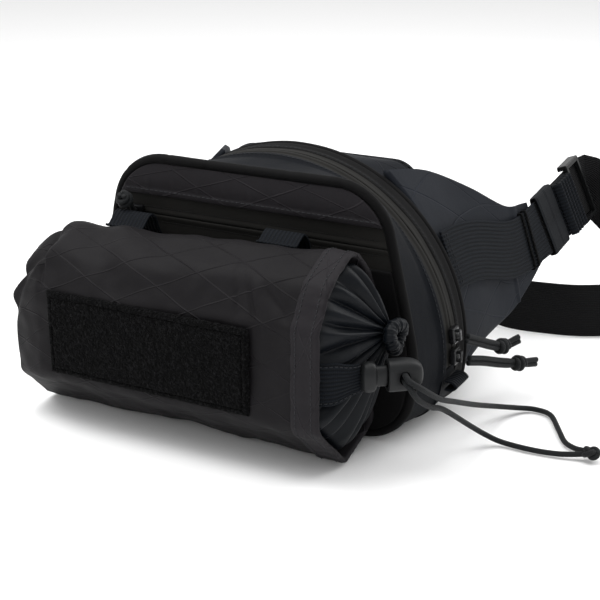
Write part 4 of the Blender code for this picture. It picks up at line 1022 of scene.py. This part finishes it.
def make_sack(finishes):
    count = 360
    inset = -(SLEEVE_WALL + 0.0026)
    rows = []
    shares = []
    for x in np.linspace(-0.110, 0.050, 60):
        shrink = -0.009 * (1.0 - ease(x, -0.111, -0.098))
        rows.append(in_yz(offset(sleeve_section(x, count), inset + shrink), x))
        shares.append(0.0)
    for x in np.linspace(0.052, 0.076, 16):
        rows.append(in_yz(offset(sleeve_section(x, count), inset), x))
        shares.append(0.32 * (x - 0.052) / 0.024)
    rim = rows[-1]
    target = GATHER + (rim - rim.mean(axis=0)) * 0.115
    for share in np.linspace(0.02, 1.0, 70):
        loop = rim + (target - rim) * (1.0 - math.cos(share * math.pi / 2))
        loop[:, 0] = rim[:, 0] + (GATHER[0] - rim[:, 0]) * share ** 0.92
        rows.append(loop)
        shares.append(0.32 + 0.68 * share)
    grid = np.array(rows)
    shares = np.array(shares)
    around = np.tile(np.arange(count) / count, (len(rows), 1))
    normals = grid_normals(grid, wrap=True)
    size = 0.0042 * np.sin(math.pi * np.clip(shares, 0.0, 0.97)) ** 0.8 + 0.0008 * ease(shares, 0.8, 1.0)
    lift = pleat_depth(around, shares[:, None]) * size[:, None]
    lift += 0.0014 * rumple(grid, 30.0, 6.0) * (1.0 - ease(shares, 0.8, 1.0))[:, None]
    lift = np.minimum(lift, 0.0018)
    grid = grid + normals * lift[:, :, None]
    grid[:, :, 2] = np.maximum(grid[:, :, 2], 0.0040)
    start = grid[0]
    centre = start.mean(axis=0)
    ends = [centre + (start - centre) * share for share in (0.03, 0.3, 0.6, 0.85, 0.96)]
    grid = np.concatenate((np.array(ends), grid), axis=0)
    piece = skin("filled_stuff_sack", grid, wrap=True, caps=True)
    dress(piece, "sack", finishes["satin"], "sack_satin", "stuff_sack")
    turns = np.linspace(0.0, 2 * math.pi, 180, endpoint=False)
    gather = 0.0066 * (1.0 + 0.05 * np.sin(3 * turns))
    path = np.column_stack((GATHER[0] + 0.0048 + 0.0008 * np.sin(2 * turns),
                            GATHER[1] + gather * np.cos(turns),
                            GATHER[2] + gather * np.sin(turns)))
    bunch = 0.0040 * (0.95 + 0.07 * np.sin(11 * turns) + 0.05 * np.sin(23 * turns + 0.7))
    piece = tube("bunched_mouth", path, bunch, 16, closed=True)
    dress(piece, "sack", finishes["satin"], "sack_satin", "sack_channel")


def make_sack_tab(finishes):
    front = SLEEVE_FRONT + SLEEVE_WALL + 0.0014
    path = smooth([(0.030, front, 0.0600), (0.073, front, 0.0600), (0.0840, front + 0.0022, 0.0600),
                   (0.0910, front + 0.0080, 0.0602), (0.0955, front + 0.0150, 0.0604),
                   (0.0975, front + 0.0190, 0.0606)], 50)
    ups = np.tile((0.0, 0.0, 1.0), (len(path), 1))
    piece = strap("lock_tab_webbing", path, ups, 0.025, 0.0013, 12)
    narrow = [1.0 - 0.30 * float(ease(vertex.co.x, 0.088, 0.097)) for vertex in piece.data.vertices]
    for vertex, share in zip(piece.data.vertices, narrow):
        vertex.co.z = 0.0602 + (vertex.co.z - 0.0602) * share
    dress(piece, "sack", finishes["webbing"], "webbing", "sack_tab")
    outward = np.cross(tangents_along(path), ups)
    for number, height in enumerate((-0.0104, 0.0104)):
        narrowed = height * (1.0 - 0.30 * ease(path[:, 0], 0.088, 0.097))
        line = path + ups * narrowed[:, None] + outward * 0.0007
        thread = stitches(f"tab_seam_{number}", line, outward, 0.0028, 0.0019, 0.00026)
        dress(thread, "sack", finishes["thread"], "webbing")


# ---------------------------------------------------------------- cord lock
def lock_place(push, hole, tall):
    return LOCK_CENTRE + LOCK_PUSH * push + LOCK_HOLE * hole + np.array((0.0, 0.0, tall))


def lock_rows(profile, power, count=56):
    """Rounded-rectangle loops along the push axis from (push, half hole size, half height)."""
    rows = []
    turns = np.linspace(0.0, 2 * math.pi, count, endpoint=False)
    for push, half_hole, half_tall in profile:
        c, s = np.cos(turns), np.sin(turns)
        hole = np.sign(c) * np.abs(c) ** (2.0 / power) * half_hole
        tall = np.sign(s) * np.abs(s) ** (2.0 / power) * half_tall
        rows.append([lock_place(push, h, t) for h, t in zip(hole, tall)])
    return np.array(rows)


def make_lock(finishes):
    end = [(0.0110 * math.sin(a), a) for a in np.linspace(0.1, math.pi / 2, 9)]
    profile = [(-0.0038, 0.0039, 0.0063), (-0.0083, 0.0040, 0.0064), (-0.0085, 0.0044, 0.0069),
               (-0.0085, 0.0055, 0.0082), (-0.0080, 0.0062, 0.0088), (-0.0070, 0.0064, 0.0089)]
    profile += [(push, 0.0064 * math.cos(a) ** 0.35, 0.0089 * math.cos(a) ** 0.5) for push, a in end[:-1]]
    profile += [(0.0110, 0.0008, 0.0010)]
    barrel = skin("lock_barrel_shell", lock_rows(profile, 2.9), wrap=True, caps=True)
    bpy.ops.mesh.primitive_cylinder_add(vertices=40, radius=0.0030, depth=0.030, location=tuple(LOCK_CENTRE))
    drill = bpy.context.object
    drill.rotation_euler = Vector(LOCK_HOLE).to_track_quat("Z", "Y").to_euler()
    bpy.ops.object.transform_apply(location=False, rotation=True, scale=False)
    drill.scale = (1.0, 1.0, 1.28)
    apply_modifier(barrel, "BOOLEAN", operation="DIFFERENCE", object=drill)
    bpy.data.objects.remove(drill)
    apply_modifier(barrel, "BEVEL", width=0.0004, segments=2, limit_method="ANGLE")
    dress(barrel, "lock_barrel", finishes["plastic"], "black_plastic", "cord_lock")
    profile = [(-0.0230, 0.0010, 0.0014), (-0.0229, 0.0026, 0.0040), (-0.0224, 0.0043, 0.0064),
               (-0.0213, 0.0055, 0.0080), (-0.0196, 0.0060, 0.0086), (-0.0172, 0.0060, 0.0086),
               (-0.0156, 0.0056, 0.0081), (-0.0148, 0.0046, 0.0070), (-0.0147, 0.0036, 0.0060),
               (-0.0100, 0.0034, 0.0058), (-0.0086, 0.0034, 0.0058)]
    fine = smooth(profile, 36)
    cap = skin("lock_button_cap", lock_rows(fine, 2.2), wrap=True, caps=True)
    dress(cap, "lock_plunger", finishes["plastic"], "black_plastic", "lock_button")


# ---------------------------------------------------------------- zip pulls
PULL_LOWER = [(0.1215, -0.0050, 0.0385), (0.1260, 0.0080, 0.0345), (0.1320, 0.0240, 0.0285),
              (0.1380, 0.0400, 0.0235), (0.1450, 0.0530, 0.0210)]
PULL_UPPER = [(0.1200, -0.0055, 0.0525), (0.1245, 0.0060, 0.0470), (0.1280, 0.0180, 0.0415),
              (0.1310, 0.0290, 0.0375), (0.1375, 0.0390, 0.0400)]
PULL_POCKET = [(-0.0750, -0.0632, 0.1192), (-0.0748, -0.0662, 0.1230), (-0.0744, -0.0705, 0.1275),
               (-0.0738, -0.0745, 0.1315)]


def make_pull(finishes, name, route, knot_share, body, node, across):
    """Doubled cord from the slider, an overhand knot, and the tail beyond it."""
    path = smooth(route, 120)
    tangents = tangents_along(path)
    side = np.array(across, dtype=float)
    side = side - tangents * (tangents @ side)[:, None]
    side = side / np.linalg.norm(side, axis=1)[:, None]
    up = np.cross(tangents, side)
    shares = np.linspace(0.0, 1.0, 120)
    spread = 0.00150 * (1.0 - 0.5 * hump(shares, knot_share, 0.10))
    pieces = []
    for number, sign in enumerate((-1.0, 1.0)):
        pieces.append(tube(f"{name}_strand_{number}", path + side * (spread * sign)[:, None], 0.00165, 12))
    length = path_length(path)
    low, high = knot_share - 0.0040 / length, knot_share + 0.0040 / length
    turns = np.linspace(0.0, 2.3 * 2 * math.pi, 110)
    at = np.linspace(low, high, 110)
    centre = np.column_stack([np.interp(at, shares, path[:, axis]) for axis in range(3)])
    first = np.column_stack([np.interp(at, shares, side[:, axis]) for axis in range(3)])
    second = np.column_stack([np.interp(at, shares, up[:, axis]) for axis in range(3)])
    girth = 0.0035 * (0.55 + 0.45 * np.sin(math.pi * np.linspace(0.0, 1.0, 110)) ** 0.5)
    wraps = centre + (first * np.cos(turns)[:, None] + second * np.sin(turns)[:, None]) * girth[:, None]
    pieces.append(tube(f"{name}_knot", wraps, 0.00170, 12))
    piece = joined(name, pieces)
    dress(piece, body, finishes["cord"], "shock_cord", node)


def make_pulls(finishes):
    upright, level = (0.0, 0.0, 1.0), (1.0, 0.0, 0.0)
    for name, route, share, body, node, across in (
            ("lower_zip_pull", PULL_LOWER, 0.76, "zip_pull_lower", "main_pull_lower", upright),
            ("upper_zip_pull", PULL_UPPER, 0.74, "zip_pull_upper", "main_pull_upper", upright),
            ("pocket_zip_pull", PULL_POCKET, 0.70, "pocket_zip_pull", "pocket_pull", level)):
        make_pull(finishes, name, route, share, body, node, across)


# ---------------------------------------------------------------- rear half of the body
def make_rear_gusset(finishes):
    count = 420
    inner = zip_outline(0.0, count)
    outer = zip_outline(0.0015, count)
    reaches = np.concatenate(([GAP, 0.003, 0.0074, 0.0078, 0.0081, 0.0085, 0.0092],
                              np.linspace(0.0100, REAR_DEPTH, 12)))
    grid = np.array([in_xz(inner + (outer - inner) * ease(reach, 0.0085, REAR_DEPTH), ZIP_Y + reach)
                     for reach in reaches])
    normals = -grid_normals(grid, wrap=True)
    lift = fold_height(reaches[:, None], grid[:, :, 2]) * 0.8
    grid = grid + normals * lift[:, :, None]
    piece = skin("rear_gusset_cloth", grid[::-1], wrap=True)
    thicken(piece, 0.0016)
    dress(piece, "rear_shell", finishes["edge"], "ripstop", "rear_gusset")
    row = 8
    seam, up = arc_part(grid[row], normals[row])
    thread = stitches("rear_gusset_seam", seam, up, 0.0031, 0.0022, 0.00024)
    dress(thread, "rear_shell", finishes["thread"], "ripstop")
    radius = REAR_PIPING / 2
    outline = offset(zip_outline(0.0015, count), -radius + 0.0008)
    outline[:, 1] = np.maximum(outline[:, 1], radius + 0.0002)
    path = in_xz(outline, ZIP_Y + REAR_DEPTH + GAP + radius)
    radii = radius * (1.0 + 0.05 * rumple(path, 60.0))
    piece = tube("rear_edge_piping", path, radii, 16, closed=True)
    dress(piece, "rear_shell", finishes["edge"], "ripstop", "rear_piping")


def make_yoke(finishes):
    count = 360
    first = zip_outline(0.0, count) * np.array((0.85, 1.0))
    first[:, 1] = np.maximum(first[:, 1], 0.002)
    last = back_outline(count)
    seam = zip_outline(-0.0010, count)
    seam[:, 1] = np.maximum(seam[:, 1], 0.002)
    rows = [in_xz(seam + (first - seam) * share, YOKE_Y - 0.0004) for share in (0.0, 0.35, 0.7)]
    for share in np.linspace(0.0, 1.0, 22):
        rows.append(in_xz(first + (last - first) * share, YOKE_Y + share * (BACK_Y - YOKE_Y)))
    grid = np.array(rows)
    normals = -grid_normals(grid, wrap=True)
    loose = np.concatenate((np.zeros(3), np.sin(math.pi * np.linspace(0.0, 1.0, 22))))
    grid = grid + normals * (0.0010 * rumple(grid, 28.0, 5.0) * loose[:, None])[:, :, None]
    piece = skin("rear_yoke_cloth", grid[::-1], wrap=True)
    thicken(piece, 0.0014)
    dress(piece, "rear_shell", finishes["rear_laminate"], "ripstop", "rear_yoke")


def pad(name, outline, low, high, crown, edge_round):
    """Crowned pad between two y planes: low faces the pack, high the wearer."""
    centre = outline.mean(axis=0)
    rows = []
    for share in np.linspace(0.02, 0.97, 16):
        rows.append(in_xz(centre + (outline - centre) * share, low))
    for turn in np.linspace(0.0, math.pi, 12):
        middle, half = (low + high) / 2, (high - low) / 2
        pulled = 1.0 - edge_round * (1.0 - math.sin(turn))
        rows.append(in_xz(centre + (outline - centre) * pulled, middle - half * math.cos(turn)))
    for share in np.linspace(0.97, 0.02, 36):
        lift = crown * (1.0 - share ** 4)
        rows.append(in_xz(centre + (outline - centre) * share, high + lift))
    return skin(name, np.array(rows)[::-1], wrap=True, caps=True)


def make_back(finishes):
    outline = back_outline(260)
    y = BACK_Y + GAP
    board = pad("back_board_cloth", outline, y, y + 0.0018, 0.0, 0.004)
    dress(board, "rear_shell", finishes["gusset"], "gusset_cloth", "back_panel")
    y += 0.0018 + GAP
    core = pad("back_foam_core", offset(outline, -0.0022), y, y + 0.0060, 0.0, 0.008)
    dress(core, "rear_shell", finishes["foam"], "foam", "back_foam")
    y += 0.0060 + GAP
    face = pad("back_mesh_face", offset(outline, -0.0014), y - 0.0015, y + 0.0022, 0.0016, 0.010)
    dress(face, "rear_shell", finishes["mesh"], "spacer_mesh", "back_mesh")


WING_TOP = [(0.058, YOKE_Y, 0.1430), (0.0715, 0.042, 0.1375), (0.0900, 0.070, 0.1225),
            (0.104, 0.097, 0.1055), (0.1085, 0.128, 0.1010)]
WING_LOW = [(0.107, YOKE_Y, 0.0180), (0.113, 0.042, 0.0325), (0.117, 0.085, 0.0390),
            (0.120, 0.112, 0.0510), (0.1225, 0.130, 0.0630)]
WING_THICK = 0.009
WING_BULGE = 0.0165


def wing_sections(depth, steps, count):
    tops = smooth(WING_TOP, steps)
    lows = smooth(WING_LOW, steps)
    sections = []
    for step, (top, low) in enumerate(zip(tops, lows)):
        along = step / (steps - 1)
        chord = (low - top) / np.linalg.norm(low - top)
        outward = np.cross(chord, np.array((0.0, 1.0, 0.0)))
        outward = outward / np.linalg.norm(outward)
        shares = np.linspace(0.0, 1.0, count)
        arch = 4 * shares * (1 - shares)
        sunk = depth * (1.0 - 0.4 * along) * (0.3 + 0.7 * arch ** 0.4)
        rise = arch * WING_BULGE * (1.0 - along) ** 2 - sunk
        sections.append(top + np.outer(shares, low - top) + np.outer(rise, outward))
    return np.array(sections)


def make_wing(finishes, which, side):
    """Padded wing with its seam, creased where it narrows to the webbing."""
    steps, count = 90, 70
    outer = wing_sections(0.0, steps, count)
    inner = wing_sections(WING_THICK, steps, count)
    along = np.linspace(0.0, 1.0, steps)[:, None]
    face = -grid_normals(outer)
    seam = outer[:, :, 1] - (0.094 + 0.10 * (0.060 - outer[:, :, 2]))
    gathers = 0.0016 * rumple(outer, 34.0, side, (1.0, 0.5, 1.6)) * ease(along, 0.35, 0.8)
    lift = 0.0010 * rumple(outer, 24.0, side + 3.0) + gathers
    lift -= 0.0012 * hump(seam, 0.0, 0.0012) * (outer[:, :, 2] < 0.078)
    lift -= 0.0016 * hump(along, 0.83, 0.03) * (outer[:, :, 2] > 0.085)
    lift *= ease(along, 0.0, 0.05) * (1.0 - ease(along, 0.96, 1.0))
    outer = outer + face * lift[:, :, None]
    loops = np.concatenate((outer, inner[:, ::-1]), axis=1)
    loops = on_side(loops, side)
    piece = skin(f"padded_wing_{which}", loops if side < 0 else loops[::-1], wrap=True, caps=True)
    dress(piece, "rear_shell", finishes["wing"], "gusset_cloth", "wing_" + which)


def soften(values, reach):
    """Average along the rows, keeping the first and last where they are."""
    before = 2 * values[0] - values[reach:0:-1]
    after = 2 * values[-1] - values[-2:-reach - 2:-1]
    padded = np.vstack((before, values, after))
    weights = np.hanning(2 * reach + 3)[1:-1]
    weights = weights / weights.sum()
    return np.column_stack([np.convolve(column, weights, mode="valid") for column in padded.T])


def on_section(section, share):
    shares = np.linspace(0.0, 1.0, len(section))
    return np.array([np.interp(share, shares, section[:, axis]) for axis in range(3)])


def wing_webbing_path(which):
    path = []
    ups = []
    for step, section in enumerate(wing_sections(0.0, 11, 21)):
        along = step / 10
        middle = 0.47 + 0.03 * along
        up = on_section(section, middle - 0.2) - on_section(section, middle + 0.2)
        up = up / np.linalg.norm(up)
        outward = np.cross((0.0, 1.0, 0.0), up)
        outward = outward / np.linalg.norm(outward)
        path.append(on_section(section, middle) + outward * (0.0030 - 0.0014 * along))
        ups.append(up)
    path, ups = np.array(path), np.array(ups)
    path[0] += (0.0, 0.0016, 0.0)
    run = belt_frame(which, 1.0)[0]
    path = np.vstack((path[:-1], TIP[which] - run * 0.004, TIP[which] - run * GAP))
    ups = np.vstack((ups[:-1], LEAN[which], LEAN[which]))
    steps = np.concatenate(([0.0], np.cumsum(np.linalg.norm(np.diff(path, axis=0), axis=1))))
    fine = smooth(path, 110)
    wanted = np.linspace(0.0, steps[-1], 110)
    leans = np.column_stack([np.interp(wanted, steps, ups[:, axis]) for axis in range(3)])
    leans = soften(leans, 30)
    fine = soften(fine, 30)
    lifted = np.cross(tangents_along(fine), leans) * (0.0012 * hump(wanted / steps[-1], 0.5, 0.25))[:, None]
    return fine + lifted, leans


# ---------------------------------------------------------------- belt
TIP = {"right": (0.1186, 0.1345, 0.0830), "left": (0.1186, 0.1345, 0.0790)}
GLIDE = {"right": (0.1213, 0.202, 0.0930), "left": (0.1195, 0.200, 0.0620)}
LEAN = {"right": (-0.37, 0.0, 0.93), "left": (-0.30, 0.0, 0.95)}
STRAP_BEYOND = {
    "right": [(0.131, 0.2245, 0.0885), (0.150, 0.2290, 0.0700), (0.171, 0.2260, 0.0480),
              (0.184, 0.2120, 0.0300), (0.181, 0.1920, 0.0210), (0.163, 0.1740, 0.0194),
              (0.142, 0.1600, 0.0193), (0.120, 0.1535, 0.0194), (0.096, 0.1500, 0.0200),
              (0.076, 0.1491, 0.0238)],
    "left": [(0.1290, 0.2220, 0.0530), (0.1470, 0.2270, 0.0400), (0.1660, 0.2190, 0.0270),
             (0.1760, 0.2000, 0.0210), (0.1770, 0.1790, 0.0196), (0.1700, 0.1600, 0.0200),
             (0.1580, 0.1490, 0.0228)],
}
BAR_LOOP = [(0.0165, 0.0030), (0.0065, 0.0031), (0.0000, 0.0027), (-0.0026, 0.0), (0.0000, -0.0027),
            (0.0065, -0.0031), (0.0165, -0.0028)]
SLEEVE_RUN = (0.001, 0.027)
ROLL_RUN = (0.028, 0.052)


def belt_frame(which, side):
    """Directions along the belt past the tip, outwards and across its width."""
    along = np.array(GLIDE[which]) - np.array(TIP[which])
    along = along / np.linalg.norm(along)
    up = np.array(LEAN[which])
    up = up - along * (up @ along)
    up = up / np.linalg.norm(up)
    outward = np.cross(along, up)
    return [on_side(vector, side) for vector in (along, outward, up)]


def squared(value, power):
    """A sine or cosine pushed towards a square corner."""
    return math.copysign(abs(value) ** power, value)


def make_wing_webbing(finishes, which, side):
    path, ups = wing_webbing_path(which)
    path, ups = on_side(path, side), on_side(ups, side)
    piece = strap("wing_belt_webbing_" + which, path, ups, WEBBING, WEB_THICK, 18)
    dress(piece, "rear_shell", finishes["webbing"], "webbing", "wing_webbing_" + which)
    outward = np.cross(tangents_along(path), ups) * side
    for number, place in enumerate((3, 5)):
        line = path[place] + ups[place] * np.linspace(-0.0165, 0.0165, 30)[:, None] + outward[place] * 0.0009
        up = np.tile(outward[place], (30, 1))
        thread = stitches(f"wing_tack_{which}_{number}", line, up, 0.0030, 0.0021, 0.00026)
        dress(thread, "rear_shell", finishes["thread"], "webbing")
    for number, place in enumerate((88, 93)):
        ring = []
        for turn in np.linspace(0.0, 2 * math.pi, 48, endpoint=False):
            c, s = math.cos(turn), math.sin(turn)
            ring.append(path[place] + ups[place] * (squared(c, 0.25) * 0.0196)
                        + outward[place] * (squared(s, 0.25) * 0.0017))
        ring = np.array(ring)
        ahead = tangents_along(path)[place]
        band = np.array([ring + ahead * shift for shift in (-0.0009, 0.0, 0.0009)])
        keeper = skin(f"wing_keeper_{which}_{number}", band, wrap=True)
        thicken(keeper, 0.0007, 0.0)
        dress(keeper, "rear_shell", finishes["loops"], "webbing")


def around_belt(which, side, run, half_out, half_tall, count=64):
    """Loop round the webbing at a distance run past the wing's tip."""
    frame = belt_frame(which, side)
    start = on_side(TIP[which], side)
    loop = []
    for turn in np.linspace(0.0, 2 * math.pi, count, endpoint=False):
        c, s = math.cos(turn), math.sin(turn)
        loop.append(start + frame[0] * run + frame[1] * (squared(c, 0.2) * half_out)
                    + frame[2] * (squared(s, 0.3) * half_tall))
    return np.array(loop)


def make_elastic_sleeve(finishes, which, side):
    runs = np.linspace(SLEEVE_RUN[0], SLEEVE_RUN[1], 40)
    rows = []
    for run in runs:
        share = (run - runs[0]) / (runs[-1] - runs[0])
        ends = hump(share, 0.0, 0.03) + hump(share, 1.0, 0.03)
        grow = 0.0016 - 0.0007 * hump(share, 0.5, 0.03) - 0.0007 * ends
        rows.append(around_belt(which, side, run, WEB_THICK / 2 + GAP + grow, WEBBING / 2 + GAP + 0.0012))
    grid = np.array(rows).transpose(1, 0, 2)
    grid = np.concatenate((grid, grid[:1]), axis=0)
    piece = skin("ribbed_sleeve_" + which, grid if side < 0 else grid[::-1])
    thicken(piece, 0.0007)
    dress(piece, "rear_shell", finishes["elastic"], "webbing", "elastic_sleeve_" + which)


def make_strap_roll(finishes, which, side):
    """Five folds of spare webbing held against the belt."""
    frame = belt_frame(which, side)
    start = on_side(TIP[which], side)
    base = WEB_THICK / 2 + GAP
    shares = np.linspace(0.0, 1.0, 160)
    run = ROLL_RUN[0] + 0.0008 + shares * (ROLL_RUN[1] - ROLL_RUN[0] - 0.0016)
    out = base + 0.0030 + 0.0042 * np.abs(np.sin(math.pi * 5 * shares)) ** 0.6
    path = start + run[:, None] * frame[0] + out[:, None] * frame[1]
    ups = np.tile(frame[2], (160, 1))
    piece = strap("folded_webbing_" + which, path, ups, 0.0385, 0.0014, 18)
    dress(piece, "rear_shell", finishes["webbing"], "webbing", "strap_roll_" + which)
    under = start + np.linspace(ROLL_RUN[0], ROLL_RUN[1], 30)[:, None] * frame[0] + frame[1] * (base + 0.0012)
    piece = strap("folded_webbing_under_" + which, under, np.tile(frame[2], (30, 1)), 0.0385, 0.0016, 10)
    dress(piece, "rear_shell", finishes["webbing"], "webbing")


def bar_loop(bar_x, direction):
    return [(bar_x + direction * (run - 0.0008), BELT_Y + out, BUCKLE_Z) for run, out in BAR_LOOP]


def make_belt_strap(finishes, which, side, ending):
    frame = belt_frame(which, side)
    start = on_side(TIP[which], side)
    straight = [start + frame[0] * run for run in (GAP, 0.02, 0.04, 0.06, 0.078, 0.084, 0.088)]
    beyond = list(on_side(STRAP_BEYOND[which], side))
    path = smooth(straight + beyond + ending, 320)
    shares = np.clip(np.linspace(-0.9, 1.6, len(path)), 0.0, 1.0)[:, None]
    ups = on_side(LEAN[which], side) * (1.0 - shares) + np.array((0.0, 0.0, 1.0)) * shares
    piece = strap("belt_webbing_" + which, path, ups, WEBBING, WEB_THICK * 0.9, 12)
    dress(piece, "rear_shell", finishes["belt"], "webbing", "belt_strap_" + which)


def make_buckle_strap(finishes):
    path = smooth([(-0.110, BELT_Y + 0.0011, BUCKLE_Z), (-0.080, BELT_Y + 0.0011, BUCKLE_Z),
                   (-0.050, BELT_Y + 0.0013, BUCKLE_Z)] + bar_loop(-0.017, -1.0), 200)
    piece = strap("buckle_webbing", path, np.tile((0.0, 0.0, 1.0), (200, 1)), WEBBING, WEB_THICK * 0.9, 12)
    dress(piece, "buckle_plug", finishes["belt"], "webbing", "buckle_strap")
    loop = []
    middle = BELT_Y + 0.0001
    for turn in np.linspace(0.0, 2 * math.pi, 64, endpoint=False):
        c, s = math.cos(turn), math.sin(turn)
        loop.append((0.0, middle + squared(c, 0.2) * 0.0031,
                     BUCKLE_Z + squared(s, 0.3) * 0.0203))
    loop = np.array(loop)
    grid = np.array([loop + (x, 0.0, 0.0) for x in np.linspace(-0.100, -0.091, 14)]).transpose(1, 0, 2)
    grid = np.concatenate((grid, grid[:1]), axis=0)
    keeper = skin("belt_keeper_band", grid)
    thicken(keeper, 0.0008)
    dress(keeper, "rear_shell", finishes["elastic"], "webbing", "belt_keeper")


def make_zip_tab(finishes, which, side):
    """Folded webbing stop below the end of the zip."""
    x = ZIP_RADIUS + 0.0008
    loop = [(0.0, 0.0292), (0.0045, 0.0290), (0.0073, 0.0266), (0.0045, 0.0242), (0.0, 0.0240)]
    path = on_side(smooth([(x + out, ZIP_Y + 0.001, height) for out, height in loop], 50), side)
    ups = np.tile((0.0, 1.0, 0.0), (50, 1))
    piece = strap("zip_stop_webbing_" + which, path, ups, 0.020, 0.0013, 10)
    dress(piece, "rear_shell", finishes["webbing"], "webbing", "zip_tab_" + which)


def make_base_gore(finishes):
    """Cloth that joins the two halves below the ends of the zip."""
    count = 420
    outline = zip_outline(0.0004, count)
    start, length = one_run(outline[:, 1] < 0.0355)
    part = np.roll(outline, -start, axis=0)[:length]
    reaches = np.linspace(-0.0105, 0.0105, 24)
    grid = np.array([in_xz(part, ZIP_Y - reach) for reach in reaches])
    grid[:, :, 2] = np.maximum(grid[:, :, 2], -0.0004)
    piece = skin("base_fold_cloth", grid)
    thicken(piece, 0.0006)
    piece.data.materials.append(finishes["gusset"])
    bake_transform(piece)


# ---------------------------------------------------------------- carried-over fittings
def finish_frame_nodes(frame, finishes):
    kept = {
        "gloss": ("tri_glide_left", "tri_glide_right", "buckle_female", "buckle_male", "buckle_arm_upper",
                  "buckle_arm_lower"),
        "metal": ("main_slider_lower", "main_slider_upper", "pocket_slider", "lock_spring"),
        "coil": ("main_zip_coil_front", "main_zip_coil_rear", "pocket_coil"),
    }
    for finish, nodes in kept.items():
        for node in nodes:
            materials = frame["nodes"][node].data.materials
            materials.clear()
            materials.append(finishes[finish])


def main():
    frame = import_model()
    make_camera()
    make_studio()
    finishes = make_finishes()
    make_cords(finishes, (0.0018, -0.0018))
    make_front_gusset(finishes)
    make_front_piping(finishes)
    make_front_panels(finishes)
    make_pocket_inside(finishes)
    make_zip_tapes(finishes)
    make_sleeve(finishes)
    make_patch(finishes)
    make_sleeve_straps(finishes)
    make_sack(finishes)
    make_sack_tab(finishes)
    make_lock(finishes)
    make_pulls(finishes)
    make_rear_gusset(finishes)
    make_yoke(finishes)
    make_back(finishes)
    for which, side in SIDES:
        make_wing(finishes, which, side)
        make_wing_webbing(finishes, which, side)
        make_elastic_sleeve(finishes, which, side)
        make_strap_roll(finishes, which, side)
        make_zip_tab(finishes, which, side)
    make_belt_strap(finishes, "right", 1.0, bar_loop(0.040, 1.0))
    left_end = [(x, BELT_Y - 0.0009, BUCKLE_Z) for x in (-0.145, -0.120, -0.090, -0.062)]
    make_belt_strap(finishes, "left", -1.0, left_end)
    make_buckle_strap(finishes)
    make_base_gore(finishes)
    finish_frame_nodes(frame, finishes)


main()
